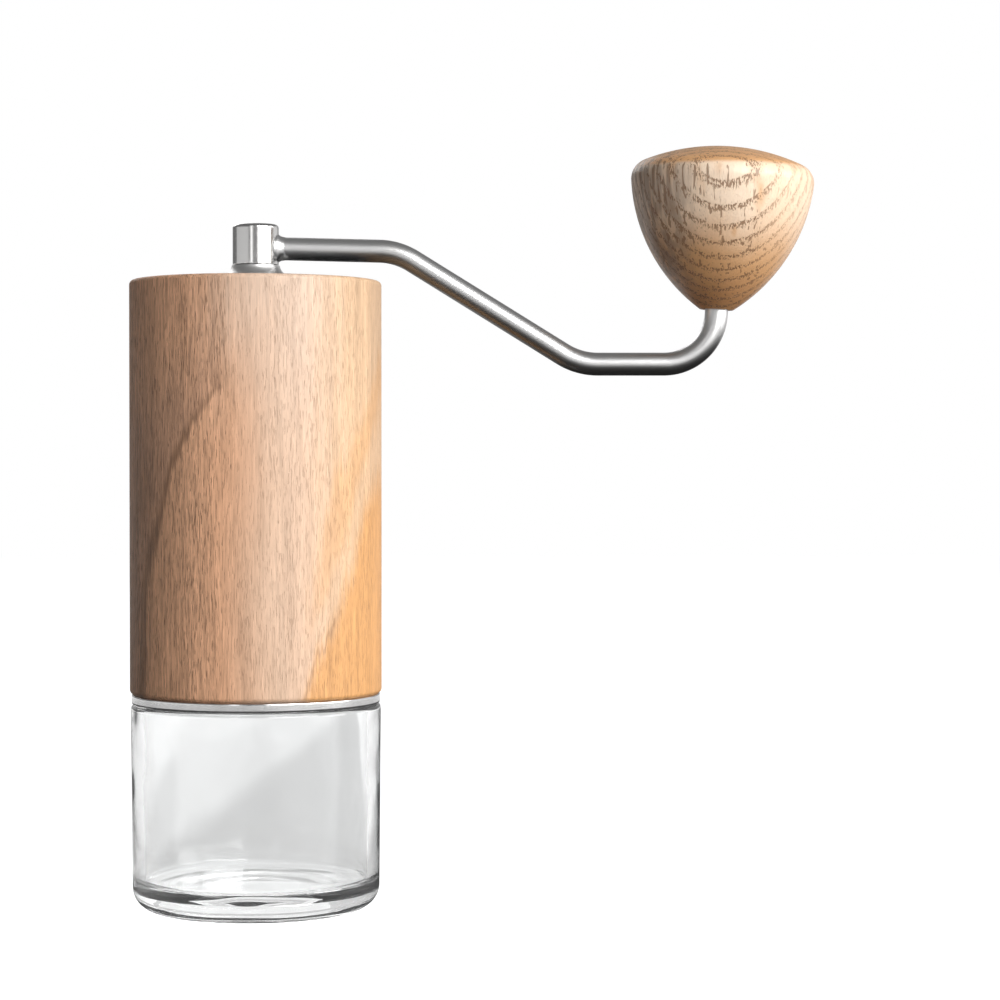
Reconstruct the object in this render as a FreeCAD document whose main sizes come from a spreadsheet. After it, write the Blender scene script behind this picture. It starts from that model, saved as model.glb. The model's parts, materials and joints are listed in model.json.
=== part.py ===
import FreeCAD, Part
import Sketcher
import math
import os

# A hand coffee grinder that stands on its glass jar. The axle is the Z axis, the jar's foot is at
# z = 0 and the crank points along +X. Lengths are in millimetres, angles in degrees.
SIZES = {
    # Glass jar
    "jar_inset": 0.2,
    "jar_taper": 0.4,
    "jar_height": 48.7,
    "jar_wall": 3.0,
    "jar_floor": 6.7,
    "jar_heel_round": 5.4,
    "jar_inside_round": 3.0,
    "jar_shoulder_round": 0.9,
    "jar_shoulder_thickness": 1.4,
    "jar_shoulder_fall": 0.7,
    "jar_foot_width": 5.0,
    "jar_punt_depth": 0.8,
    "neck_height": 8.6,
    "neck_wall": 2.8,
    "neck_rim_round": 0.8,
    # Steel collar in the foot of the body, and the gasket
    "jar_seat_gap": 0.2,
    "collar_inset": 0.4,
    "collar_flange_height": 2.4,
    "collar_edge_round": 0.5,
    "collar_step": 0.95,
    "collar_wall": 1.7,
    "thread_play": 0.5,
    "seal_thickness": 1.9,
    "seal_play": 0.1,
    "seal_inset": 0.4,
    "collar_web": 1.5,
    # Wooden sleeve and the steel liner
    "body_diameter": 60.0,
    "body_length": 98.4,
    "body_edge_round": 1.1,
    "sleeve_wall": 3.95,
    "liner_wall": 1.0,
    "glue_gap": 0.05,
    "lid_recess_depth": 1.4,
    "lid_recess_play": 0.3,
    # Stack of rings inside the liner
    "stack_play": 0.1,
    "carrier_height": 18.0,
    "lock_ring_height": 2.4,
    "lock_ring_play": 0.1,
    "lock_ring_overlap": 2.8,
    "lock_slot_width": 2.4,
    "lock_slot_depth": 1.2,
    "lock_slot_count": 4,
    "carrier_wall": 2.85,
    "carrier_lip_overlap": 3.0,
    "funnel_height": 12.5,
    "funnel_rim": 0.8,
    "bridge_height": 10.0,
    "bridge_rim": 2.0,
    "bridge_arm_width": 5.0,
    "bridge_arm_height": 4.6,
    "bridge_arm_level": 3.4,
    "bridge_arm_count": 3,
    "cup_wall": 2.0,
    "cup_lip_height": 1.5,
    "cup_lip_bore": 13.0,
    "cup_seat_level": 4.0,
    "hopper_headroom": 12.9,
    "spacer_wall": 1.0,
    "snap_ring_thickness": 1.2,
    "snap_ring_width": 1.9,
    "snap_groove_depth": 0.4,
    "snap_ring_play": 0.05,
    "snap_ring_mouth": 9.0,
    # Ball bearings
    "bearing_diameter": 16.0,
    "bearing_bore": 8.0,
    "bearing_width": 5.0,
    "race_wall": 1.2,
    "shield_thickness": 0.4,
    "shield_recess": 0.3,
    "shield_play": 0.1,
    "bearing_fit": 0.01,
    # Burrs
    "cone_tip_diameter": 13.0,
    "cone_height": 22.0,
    "cone_overhang": 0.3,
    "grind_drop": 1.25,
    "burr_touch_gap": 0.02,
    "ring_burr_wall": 4.5,
    "ring_burr_height": 13.8,
    "ring_burr_play": 0.05,
    "ring_fine_height": 3.5,
    "ring_throat_height": 1.0,
    "flute_count": 6,
    "flute_depth": 3.2,
    "flute_low_level": 5.5,
    "flute_width": 3.4,
    "flute_twist": 66.0,
    "tooth_count": 24,
    "tooth_depth": 0.9,
    "tooth_width": 1.5,
    "tooth_height": 6.5,
    "tooth_rim": 0.8,
    "ring_flute_depth": 1.8,
    "ring_flute_width": 2.6,
    "ring_flute_twist": 30.0,
    # Axle
    "axle_middle_diameter": 9.6,
    "axle_flat_width": 6.4,
    "axle_thread_diameter": 6.0,
    "axle_thread_end": 1.8,
    "axle_key_lead": 0.5,
    "axle_key_spare": 2.0,
    "key_play": 0.05,
    "hex_width": 6.0,
    "hex_play": 0.05,
    "hex_root": 3.6,
    "hex_top_play": 0.4,
    "circlip_thickness": 0.8,
    "circlip_diameter": 10.6,
    "circlip_groove_depth": 0.4,
    "circlip_play": 0.05,
    "circlip_mouth": 4.0,
    # Spring on the axle
    "washer_thickness": 0.8,
    "washer_diameter": 12.2,
    "washer_play": 0.1,
    "spring_wire": 1.0,
    "spring_diameter": 10.4,
    "spring_turns": 3.5,
    "spring_seat_gap": 0.05,
    # Grind dial and its clicks
    "click_disc_thickness": 1.2,
    "click_disc_diameter": 25.0,
    "click_disc_bore": 10.0,
    "click_circle_diameter": 18.0,
    "click_hole_diameter": 1.8,
    "click_count": 12,
    "click_gap": 0.1,
    "click_ball_diameter": 2.4,
    "click_pocket_play": 0.1,
    "click_spring_wire": 0.4,
    "click_spring_turns": 3.0,
    "click_spring_height": 2.6,
    "click_ball_seat": 0.05,
    "dial_diameter": 28.0,
    "dial_height": 9.6,
    "dial_thread_play": 0.05,
    "dial_scallop_count": 12,
    "dial_scallop_diameter": 6.0,
    "dial_scallop_depth": 1.2,
    "dial_edge_chamfer": 0.8,
    # Lid
    "lid_rest": 0.75,
    "lid_edge": 1.4,
    "lid_seat_gap": 0.05,
    "lid_thickness": 1.6,
    "lid_rise": 5.1,
    "lid_flare_diameter": 14.8,
    "lid_flare_rise": 3.8,
    "lid_boss_rim": 0.2,
    "lid_boss_thickness": 2.0,
    "lid_dome_radius": 160.0,
    "lid_skirt_play": 0.3,
    "lid_skirt_wall": 1.3,
    "lid_skirt_depth": 3.0,
    # Crank hub and arm
    "hub_gap": 0.1,
    "hub_diameter": 11.0,
    "hub_height": 9.7,
    "hub_edge_round": 0.8,
    "hub_shoulder": 0.85,
    "hub_neck_length": 4.2,
    "hub_neck_play": 0.1,
    "hub_cap": 2.2,
    "lid_clip_thickness": 0.8,
    "lid_clip_play": 0.05,
    "lid_clip_diameter": 12.4,
    "lid_clip_room": 0.4,
    "lid_clip_groove_depth": 0.45,
    "lid_clip_mouth": 4.4,
    "arm_diameter": 5.5,
    "arm_rise": 4.1,
    "arm_droop": 1.4,
    "arm_seat_depth": 1.5,
    "arm_fit": 0.02,
    "arm_end_gap": 0.1,
    "weld_reach": 1.5,
    "weld_height": 1.1,
    "weld_depth": 1.8,
    "arm_shoulder": 33.85,
    "arm_slope": 31.8,
    "arm_drop": 27.7,
    "arm_bend_radius": 16.0,
    "crank_reach": 110.1,
    "grip_bend_radius": 12.5,
    "knob_foot_rise": 13.0,
    "knob_tilt": 2.6,
    "pin_length": 27.0,
    # Knob
    "knob_diameter": 43.9,
    "knob_height": 38.8,
    "knob_dome_rise": 5.4,
    "knob_side_radius": 41.2,
    "knob_shoulder_round": 4.5,
    "knob_foot_diameter": 8.0,
    "knob_bore_spare": 1.2,
    "bush_wall": 0.6,
    "bush_play": 0.05,
    "bush_foot_gap": 0.3,
    "bush_length": 22.0,
    "knob_clip_gap": 0.2,
    "knob_clip_thickness": 0.8,
    "knob_clip_groove_depth": 0.5,
    "knob_clip_play": 0.03,
}

doc = FreeCAD.newDocument("coffee_grinder")
sheet = doc.addObject("Spreadsheet::Sheet", "Sizes")
for row, (alias, number) in enumerate(SIZES.items(), start=1):
    sheet.set(f"A{row}", alias)
    sheet.set(f"B{row}", str(number))
    sheet.setAlias(f"B{row}", alias)
doc.recompute()

SUBPARTS = []


class Size:
    """A dimension: its value now, and the spreadsheet formula that it follows."""

    def __init__(self, value, formula):
        self.value = value
        self.formula = formula

    def __add__(self, other):
        other = as_size(other)
        return Size(self.value + other.value, f"({self.formula} + {other.formula})")

    def __sub__(self, other):
        other = as_size(other)
        return Size(self.value - other.value, f"({self.formula} - {other.formula})")

    def __mul__(self, other):
        other = as_size(other)
        return Size(self.value * other.value, f"({self.formula} * {other.formula})")

    def __truediv__(self, other):
        other = as_size(other)
        return Size(self.value / other.value, f"({self.formula} / {other.formula})")

    def __neg__(self):
        return Size(-self.value, f"(-1 * {self.formula})")


def as_size(number):
    """Lets a plain number stand in a formula."""
    if isinstance(number, Size):
        return number
    return Size(number, repr(number))


def size(alias):
    """A driving dimension of the sheet."""
    return Size(float(getattr(sheet, alias)), f"Sizes.{alias}")


def radius(alias):
    """Half of a diameter, or of a width, in the sheet."""
    return size(alias) / 2


def sine(angle):
    return Size(math.sin(math.radians(angle.value)), f"sin({angle.formula} * 1 deg)")


def cosine(angle):
    return Size(math.cos(math.radians(angle.value)), f"cos({angle.formula} * 1 deg)")


def tangent(angle):
    return Size(math.tan(math.radians(angle.value)), f"tan({angle.formula} * 1 deg)")


def bind(item, prop, length):
    """Ties a property to the sheet."""
    item.setExpression(prop, length.formula)


def new_body(label, level=None):
    """An empty body whose own z = 0 stands at the given level."""
    body = doc.addObject("PartDesign::Body", label)
    body.Label = label
    if level is not None:
        bind(body, "Placement.Base.z", level)
    return body


def keep(item, label):
    """Lists a finished sub-part under its own name."""
    item.Label = label
    SUBPARTS.append(item)
    return item


def origin_feature(body, role):
    """One of the body's own planes or axes."""
    return next(item for item in body.Origin.OriginFeatures if item.Role == role)


def new_sketch(body, plane, level=None, turn=None):
    """A sketch on one of the body's planes, lifted along the plane's normal and turned in it."""
    sketch = body.newObject("Sketcher::SketchObject", f"{body.Label}_sketch")
    sketch.AttachmentSupport = (origin_feature(body, plane), [""])
    sketch.MapMode = "FlatFace"
    if turn is not None:
        spin = FreeCAD.Rotation(FreeCAD.Vector(0, 0, 1), turn.value)
        sketch.AttachmentOffset = FreeCAD.Placement(FreeCAD.Vector(), spin)
        bind(sketch, "AttachmentOffset.Rotation.Angle", turn)
    if level is not None:
        bind(sketch, "AttachmentOffset.Base.z", level)
    return sketch


def hold_point(sketch, edge, end, across, up):
    """Fixes a sketch point by two distances from the origin; None holds it on that axis."""
    for kind, axis, distance in (("DistanceX", -2, across), ("DistanceY", -1, up)):
        if distance is None:
            sketch.addConstraint(Sketcher.Constraint("PointOnObject", edge, end, axis))
        else:
            rule = Sketcher.Constraint(kind, -1, 1, edge, end, distance.value)
            index = sketch.addConstraint(rule)
            bind(sketch, f"Constraints[{index}]", distance)


def value_of(distance):
    return 0.0 if distance is None else distance.value


def arc_between(start, end, reach, bulge):
    """An arc from start to end, bulging to the right of that way (+1) or to the left (-1)."""
    chord = end - start
    half = chord.Length / 2
    aside = FreeCAD.Vector(-chord.y, chord.x, 0).normalize() * bulge
    centre = (start + end) * 0.5 + aside * math.sqrt(reach * reach - half * half)
    circle = Part.Circle(centre, FreeCAD.Vector(0, 0, 1), reach)
    first, last = (start, end) if bulge > 0 else (end, start)
    first_angle = math.atan2(first.y - centre.y, first.x - centre.x)
    last_angle = math.atan2(last.y - centre.y, last.x - centre.x)
    if last_angle < first_angle:
        last_angle += 2 * math.pi
    return Part.ArcOfCircle(circle, first_angle, last_angle)


def draw_loop(sketch, corners, arcs=None):
    """Draws a closed loop through the corners, counter-clockwise, straight or with the given arcs.

    An arc is listed by the number of its first corner, as a radius and +1 (outwards) or -1 (inwards).
    """
    arcs = arcs or {}
    points = [FreeCAD.Vector(value_of(x), value_of(y), 0) for x, y in corners]
    count = len(points)
    ends = []
    offset = sketch.GeometryCount
    for number, start in enumerate(points):
        end = points[(number + 1) % count]
        if number in arcs:
            reach, bulge = arcs[number]
            sketch.addGeometry(arc_between(start, end, reach.value, bulge), False)
            ends.append((1, 2) if bulge > 0 else (2, 1))
        else:
            sketch.addGeometry(Part.LineSegment(start, end), False)
            ends.append((1, 2))
    for number in range(count):
        after = (number + 1) % count
        here = (offset + number, ends[number][1])
        there = (offset + after, ends[after][0])
        sketch.addConstraint(Sketcher.Constraint("Coincident", *here, *there))
    for number, (across, up) in enumerate(corners):
        hold_point(sketch, offset + number, ends[number][0], across, up)
    for number, (reach, bulge) in arcs.items():
        index = sketch.addConstraint(Sketcher.Constraint("Radius", offset + number, reach.value))
        bind(sketch, f"Constraints[{index}]", reach)


def draw_circle(sketch, across, up, reach):
    """Draws a circle held by its centre and radius."""
    centre = FreeCAD.Vector(value_of(across), value_of(up), 0)
    edge = sketch.addGeometry(Part.Circle(centre, FreeCAD.Vector(0, 0, 1), reach.value), False)
    hold_point(sketch, edge, 3, across, up)
    index = sketch.addConstraint(Sketcher.Constraint("Radius", edge, reach.value))
    bind(sketch, f"Constraints[{index}]", reach)


def turn_loop(body, corners, arcs=None):
    """Turns a profile, drawn in the XZ plane, about the body's Z axis."""
    sketch = new_sketch(body, "XZ_Plane")
    draw_loop(sketch, corners, arcs)
    turned = body.newObject("PartDesign::Revolution", f"{body.Label}_turned")
    turned.Profile = sketch
    turned.ReferenceAxis = (sketch, ["V_Axis"])
    turned.Angle = 360.0
    doc.recompute()
    return turned


def rectangle(left, right, bottom, top):
    """Corners of a rectangle, counter-clockwise."""
    return [(left, bottom), (right, bottom), (right, top), (left, top)]


def turned_ring(label, level, inner, outer, height):
    """A plain ring with a square section."""
    body = new_body(label, level)
    turn_loop(body, rectangle(inner, outer, None, height))
    return keep(body, label)


def ring_edges(feature, rings):
    """Names of the circular edges with the given radii and levels."""
    names = []
    for number, edge in enumerate(feature.Shape.Edges, start=1):
        if edge.Degenerated or not isinstance(edge.Curve, Part.Circle):
            continue
        for reach, level in rings:
            same_reach = abs(edge.Curve.Radius - reach.value) < 1e-4
            if same_reach and abs(edge.Curve.Center.z - value_of(level)) < 1e-4:
                names.append(f"Edge{number}")
    return names


def round_rings(body, rings, reach):
    """Rounds circular edges of the body's last feature."""
    base = body.Tip
    rounded = body.newObject("PartDesign::Fillet", f"{body.Label}_round")
    rounded.Base = (base, ring_edges(base, rings))
    bind(rounded, "Radius", reach)
    doc.recompute()
    return rounded


def raise_sketch(body, sketch, height):
    """Pads a sketch along its normal."""
    pad = body.newObject("PartDesign::Pad", f"{body.Label}_pad")
    pad.Profile = sketch
    bind(pad, "Length", height)
    doc.recompute()
    return pad


def sink_sketch(body, sketch, depth):
    """Cuts a sketch into the body against its normal."""
    before = body.Shape.Volume
    pocket = body.newObject("PartDesign::Pocket", f"{body.Label}_pocket")
    pocket.Profile = sketch
    bind(pocket, "Length", depth)
    doc.recompute()
    if body.Shape.Volume > before - 1e-6:
        raise RuntimeError(f"{body.Label}: the pocket cuts nothing")
    return pocket


def repeat_round(body, feature, count):
    """Repeats a feature in a full circle about the Z axis."""
    pattern = body.newObject("PartDesign::PolarPattern", f"{body.Label}_pattern")
    pattern.Originals = [feature]
    pattern.Axis = (origin_feature(body, "Z_Axis"), [""])
    pattern.Angle = 360.0
    bind(pattern, "Occurrences", count)
    body.Tip = pattern
    doc.recompute()
    return pattern


def hexagon(width):
    """Corners of a hexagon of the given width across flats, two flats facing Y."""
    corner = width / math.sqrt(3)
    half = width / 2
    return [
        (corner, None),
        (corner / 2, half),
        (-corner / 2, half),
        (-corner, None),
        (-corner / 2, -half),
        (corner / 2, -half),
    ]


def cut_groove(body, name, stations):
    """Cuts one V groove, lofted through triangles.

    A station gives its level, its turn, the root's radius, the rim's radius and half the rim's width.
    """
    before = body.Shape.Volume
    sections = []
    for level, turn, root, rim, half_width in stations:
        sketch = new_sketch(body, "XY_Plane", level, turn)
        corners = [(root, None), (rim, -half_width), (rim, half_width)]
        if rim.value < root.value:
            corners = [(root, None), (rim, half_width), (rim, -half_width)]
        draw_loop(sketch, corners)
        sections.append(sketch)
    groove = body.newObject("PartDesign::SubtractiveLoft", f"{body.Label}_{name}")
    groove.Profile = sections[0]
    groove.Sections = sections[1:]
    groove.Ruled = True
    doc.recompute()
    if body.Shape.Volume > before - 1e-6:
        raise RuntimeError(f"{body.Label}: the {name} cuts nothing")
    return groove


# Levels above the jar's foot, from the foot up
neck_top = size("jar_height") + size("neck_height")
collar_bottom = size("jar_height") + size("jar_seat_gap")
body_bottom = collar_bottom + size("collar_flange_height")
body_top = body_bottom + size("body_length")
seal_bottom = neck_top + size("seal_play")
web_bottom = seal_bottom + size("seal_thickness") + size("seal_play")
collar_top = web_bottom + size("collar_web")
ring_burr_bottom = collar_top + size("lock_ring_height") + size("lock_ring_play") + size("ring_burr_play")
cone_bottom = ring_burr_bottom - size("cone_overhang")
cone_top = cone_bottom + size("cone_height")
funnel_bottom = collar_top + size("carrier_height")
lower_bridge_bottom = funnel_bottom + size("funnel_height")
lower_bearing_bottom = lower_bridge_bottom + size("cup_seat_level")
lower_bearing_top = lower_bearing_bottom + size("bearing_width")
spacer_bottom = lower_bridge_bottom + size("bridge_height")
lid_seat = body_top - size("lid_recess_depth")
upper_bridge_top = lid_seat - size("hopper_headroom")
upper_bridge_bottom = upper_bridge_top - size("bridge_height")
upper_bearing_top = upper_bridge_top - size("cup_seat_level")
upper_bearing_bottom = upper_bearing_top - size("bearing_width")
hub_bottom = lid_seat + size("lid_rise") + size("hub_gap")
neck_bottom = hub_bottom - size("hub_neck_length")
socket_top = hub_bottom + size("hub_height") - size("hub_cap")
arm_level = hub_bottom + size("arm_rise")
click_disc_bottom = cone_bottom - size("click_disc_thickness")
dial_top = click_disc_bottom - size("click_gap")
dial_bottom = dial_top - size("dial_height")
key_bottom = cone_bottom - size("axle_key_lead")
axle_bottom = dial_bottom - size("axle_thread_end")

# Radii that several pieces share, from the body's outside inwards
body_radius = radius("body_diameter")
body_bore = body_radius - size("sleeve_wall")
jar_top_radius = body_radius - size("jar_inset")
jar_base_radius = jar_top_radius - size("jar_taper")
collar_flange = body_radius - size("collar_inset")
collar_radius = body_bore + size("collar_step")
collar_bore = collar_radius - size("collar_wall")
neck_radius = collar_bore - size("thread_play")
mouth_radius = neck_radius - size("neck_wall")
seal_bore = mouth_radius + size("seal_inset")
lid_radius = body_bore + size("lid_rest")
liner_radius = body_bore - size("glue_gap")
liner_bore = liner_radius - size("liner_wall")
stack_radius = liner_bore - size("stack_play")
ring_burr_radius = stack_radius - size("carrier_wall") - size("ring_burr_play")
cone_radius = ring_burr_radius - size("ring_burr_wall")
carrier_lip = ring_burr_radius - size("carrier_lip_overlap")
cone_slope = (cone_radius - radius("cone_tip_diameter")) / size("cone_height")
hub_radius = radius("hub_diameter")
hub_neck_radius = hub_radius - size("hub_shoulder")
arm_seat = hub_radius - size("arm_seat_depth")
arm_start = arm_seat + size("arm_end_gap")
pin_radius = radius("arm_diameter")
knob_bore = pin_radius + size("bush_play") + size("bush_wall") + size("bush_play")


def make_glass_jar():
    """The catch jar: a tapered wall, thick floor with a hollow foot, sloping shoulder and screw neck."""
    jar = new_body("glass_jar")
    base = jar_base_radius
    top = jar_top_radius
    neck = neck_radius
    mouth = mouth_radius
    wall = size("jar_wall")
    height = size("jar_height")
    punt = base - size("jar_heel_round") - size("jar_foot_width")
    shoulder = height - size("jar_shoulder_thickness")
    turn_loop(jar, [
        (None, size("jar_punt_depth")),
        (punt, None),
        (base, None),
        (top, height),
        (neck, height),
        (neck, neck_top),
        (mouth, neck_top),
        (mouth, shoulder),
        (top - wall, shoulder - size("jar_shoulder_fall")),
        (base - wall, size("jar_floor")),
        (None, size("jar_floor")),
    ])
    round_rings(jar, [(base, None)], size("jar_heel_round"))
    round_rings(jar, [(base - wall, size("jar_floor"))], size("jar_inside_round"))
    round_rings(jar, [(top, height)], size("jar_shoulder_round"))
    round_rings(jar, [(neck, neck_top), (mouth, neck_top)], size("neck_rim_round"))
    return keep(jar, "glass_jar")


def make_jar_seal():
    """The flat gasket over the jar's rim."""
    outer = collar_bore - size("thread_play") / 2
    turned_ring("jar_seal", seal_bottom, seal_bore, outer, size("seal_thickness"))


def make_jar_collar():
    """The steel ring that the jar screws into, with the bright flange that shows under the wood."""
    collar = new_body("jar_collar", collar_bottom)
    flange = collar_flange
    outer = collar_radius
    flange_top = size("collar_flange_height")
    web = web_bottom - collar_bottom
    top = collar_top - collar_bottom
    turn_loop(collar, [
        (collar_bore, None),
        (flange, None),
        (flange, flange_top),
        (outer, flange_top),
        (outer, top),
        (seal_bore, top),
        (seal_bore, web),
        (collar_bore, web),
    ])
    round_rings(collar, [(flange, None), (flange, flange_top)], size("collar_edge_round"))
    return keep(collar, "jar_collar")


def make_wooden_sleeve():
    """The turned body: bored for the liner, counterbored for the collar below and the lid above."""
    sleeve = new_body("wooden_sleeve", body_bottom)
    outer = body_radius
    collar_hole = collar_radius + size("glue_gap")
    recess = lid_radius + size("lid_recess_play")
    collar_end = collar_top - body_bottom
    length = size("body_length")
    recess_floor = length - size("lid_recess_depth")
    turn_loop(sleeve, [
        (collar_hole, None),
        (outer, None),
        (outer, length),
        (recess, length),
        (recess, recess_floor),
        (body_bore, recess_floor),
        (body_bore, collar_end),
        (collar_hole, collar_end),
    ])
    round_rings(sleeve, [(outer, None), (outer, length)], size("body_edge_round"))
    return keep(sleeve, "wooden_sleeve")


def make_steel_liner():
    """The tube inside the wood, with a groove for the snap ring."""
    liner = new_body("steel_liner", collar_top)
    outer = liner_radius
    inner = liner_bore
    top = lid_seat - collar_top
    groove = upper_bridge_top - collar_top
    groove_top = groove + size("snap_ring_thickness") + size("snap_ring_play")
    groove_radius = inner + size("snap_groove_depth")
    turn_loop(liner, [
        (inner, None),
        (outer, None),
        (outer, top),
        (inner, top),
        (inner, groove_top),
        (groove_radius, groove_top),
        (groove_radius, groove),
        (inner, groove),
    ])
    return keep(liner, "steel_liner")


def split_ring(label, level, inner, outer, height, mouth):
    """A ring with a gap of the given width on its -X side, as circlips and snap rings have."""
    ring = new_body(label, level)
    turn_loop(ring, rectangle(inner, outer, None, height))
    slot = new_sketch(ring, "XY_Plane", height)
    draw_loop(slot, rectangle(-outer - mouth, -inner / 2, -mouth / 2, mouth / 2))
    sink_sketch(ring, slot, height)
    return keep(ring, label)


def make_snap_ring():
    """Holds the stack of rings down in the liner."""
    outer = liner_bore + size("snap_groove_depth") - size("snap_ring_play")
    inner = outer - size("snap_ring_width")
    thickness = size("snap_ring_thickness")
    split_ring("snap_ring", upper_bridge_top, inner, outer, thickness, size("snap_ring_mouth"))


def make_burr_carrier():
    """The ring that seats the outer burr, with a lip above it and room for the lock ring below."""
    carrier = new_body("burr_carrier", collar_top)
    seat = ring_burr_radius + size("ring_burr_play")
    lip = carrier_lip
    step = size("lock_ring_height") + size("lock_ring_play")
    thread = seat + size("lock_ring_play") + size("lock_ring_play")
    lip_bottom = ring_burr_bottom - collar_top + size("ring_burr_height") + size("ring_burr_play")
    top = size("carrier_height")
    funnel_mouth = lip + (top - lip_bottom) * funnel_slope()
    turn_loop(carrier, [
        (thread, None),
        (stack_radius, None),
        (stack_radius, top),
        (funnel_mouth, top),
        (lip, lip_bottom),
        (seat, lip_bottom),
        (seat, step),
        (thread, step),
    ])
    return keep(carrier, "burr_carrier")


def funnel_slope():
    """How much the funnel widens for each millimetre upwards, from the carrier's lip to its rim."""
    lip_bottom = ring_burr_bottom - collar_top + size("ring_burr_height") + size("ring_burr_play")
    rise = size("carrier_height") - lip_bottom + size("funnel_height")
    return (stack_radius - size("funnel_rim") - carrier_lip) / rise


def make_hopper_funnel():
    """The cone that leads the beans down to the burrs."""
    funnel = new_body("hopper_funnel", funnel_bottom)
    height = size("funnel_height")
    rim = stack_radius - size("funnel_rim")
    foot = rim - height * funnel_slope()
    turn_loop(funnel, [
        (foot, None),
        (stack_radius, None),
        (stack_radius, height),
        (rim, height),
    ])
    return keep(funnel, "hopper_funnel")


def make_burr_lock_ring():
    """The ring screwed in under the outer burr, with slots for a pin wrench."""
    level = collar_top + size("lock_ring_play")
    inner = ring_burr_radius - size("lock_ring_overlap")
    outer = ring_burr_radius + size("ring_burr_play") + size("lock_ring_play")
    height = size("lock_ring_height")
    ring = new_body("burr_lock_ring", level)
    turn_loop(ring, rectangle(inner, outer, None, height))
    slot = new_sketch(ring, "XY_Plane", size("lock_slot_depth"))
    half = radius("lock_slot_width")
    draw_loop(slot, rectangle(inner - half, outer + half, -half, half))
    repeat_round(ring, sink_sketch(ring, slot, size("lock_slot_depth")), size("lock_slot_count"))
    return keep(ring, "burr_lock_ring")


def make_bridge(label, level, lip_above):
    """A three-armed holder: a rim in the liner, three arms, and a cup with a lip for a bearing.

    The upper bridge is the lower one turned over, with its lip above the bearing.
    """
    bridge = new_body(label, level)
    height = size("bridge_height")
    seat = radius("bearing_diameter") + size("bearing_fit")
    cup = seat + size("cup_wall")
    lip = radius("cup_lip_bore")
    seat_bottom = size("cup_seat_level")
    cup_bottom = seat_bottom - size("cup_lip_height")
    cup_top = seat_bottom + size("bearing_width")
    arm_bottom = size("bridge_arm_level")
    inner_rim = stack_radius - size("bridge_rim")
    cup_corners = [
        (lip, cup_bottom),
        (cup, cup_bottom),
        (cup, cup_top),
        (seat, cup_top),
        (seat, seat_bottom),
        (lip, seat_bottom),
    ]
    if lip_above:
        cup_corners = [(x, height - z) for x, z in reversed(cup_corners)]
        arm_bottom = height - arm_bottom - size("bridge_arm_height")
    turn_loop(bridge, cup_corners)
    arm = new_sketch(bridge, "XY_Plane", arm_bottom)
    half = radius("bridge_arm_width")
    draw_loop(arm, rectangle(-half, half, cup - size("cup_wall") / 2, inner_rim + size("bridge_rim") / 2))
    pad = raise_sketch(bridge, arm, size("bridge_arm_height"))
    repeat_round(bridge, pad, size("bridge_arm_count"))
    turn_loop(bridge, rectangle(inner_rim, stack_radius, None, height))
    return keep(bridge, label)


def make_hopper_spacer():
    """The tube that keeps the two bridges apart."""
    inner = stack_radius - size("spacer_wall")
    turned_ring("hopper_spacer", spacer_bottom, inner, stack_radius, upper_bridge_bottom - spacer_bottom)


def make_bearing(name, level):
    """A shielded ball bearing as two races; the shields belong to the outer one."""
    width = size("bearing_width")
    outer = radius("bearing_diameter")
    inner = radius("bearing_bore") + size("bearing_fit")
    track = inner + size("race_wall")
    shield = track + size("shield_play")
    outer_track = outer - size("race_wall")
    low = size("shield_recess")
    low_top = low + size("shield_thickness")
    high = width - size("shield_recess")
    high_bottom = high - size("shield_thickness")
    race = new_body(f"{name}_bearing_outer_race", level)
    turn_loop(race, [
        (outer_track, None),
        (outer, None),
        (outer, width),
        (outer_track, width),
        (outer_track, high),
        (shield, high),
        (shield, high_bottom),
        (outer_track, high_bottom),
        (outer_track, low_top),
        (shield, low_top),
        (shield, low),
        (outer_track, low),
    ])
    keep(race, f"{name}_bearing_outer_race")
    turned_ring(f"{name}_bearing_inner_race", level, inner, track, width)


def flute_turn(level, twist, height):
    """How far a spiral cut has turned at a level."""
    return -(twist * level / height)


def make_cone_burr():
    """The inner burr: a cone with deep spiral flutes that crack and fine teeth that grind."""
    cone = new_body("cone_burr", cone_bottom)
    base = cone_radius
    height = size("cone_height")
    turn_loop(cone, [(None, None), (base, None), (radius("cone_tip_diameter"), height), (None, height)])
    rim = size("tooth_rim")
    twist = size("flute_twist")
    low = size("flute_low_level")
    flute = []
    for share, depth_share in ((0.0, 0.15), (0.3, 0.8), (0.65, 1.0), (1.02, 0.15)):
        level = low + (height - low) * share
        surface = base - cone_slope * level
        root = surface - size("flute_depth") * depth_share
        outside = surface + rim + rim
        half_width = size("flute_width") * (0.35 + 0.65 * depth_share)
        flute.append((level, flute_turn(level, twist, height), root, outside, half_width))
    repeat_round(cone, cut_groove(cone, "flute", flute), size("flute_count"))
    tooth = []
    for level, depth_share in ((-rim / 4, 1.0), (size("tooth_height"), 0.3)):
        surface = base - cone_slope * level
        root = surface - size("tooth_depth") * depth_share
        half_width = radius("tooth_width") * (depth_share + 0.5)
        tooth.append((level, flute_turn(level, twist, height), root, surface + rim, half_width))
    repeat_round(cone, cut_groove(cone, "tooth", tooth), size("tooth_count"))
    key = new_sketch(cone, "XY_Plane", height)
    draw_key(key, size("key_play"))
    sink_sketch(cone, key, height)
    return keep(cone, "cone_burr")


def draw_key(sketch, play):
    """A round with two flats, as the axle has below its lower bearing."""
    reach = radius("bearing_bore") + play
    flat = radius("axle_flat_width") + play
    half = math.sqrt(reach.value * reach.value - flat.value * flat.value)
    along = Size(half, f"sqrt({reach.formula} * {reach.formula} - {flat.formula} * {flat.formula})")
    corners = [(along, -flat), (along, flat), (-along, flat), (-along, -flat)]
    draw_loop(sketch, corners, {0: (reach, 1), 2: (reach, 1)})


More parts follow.
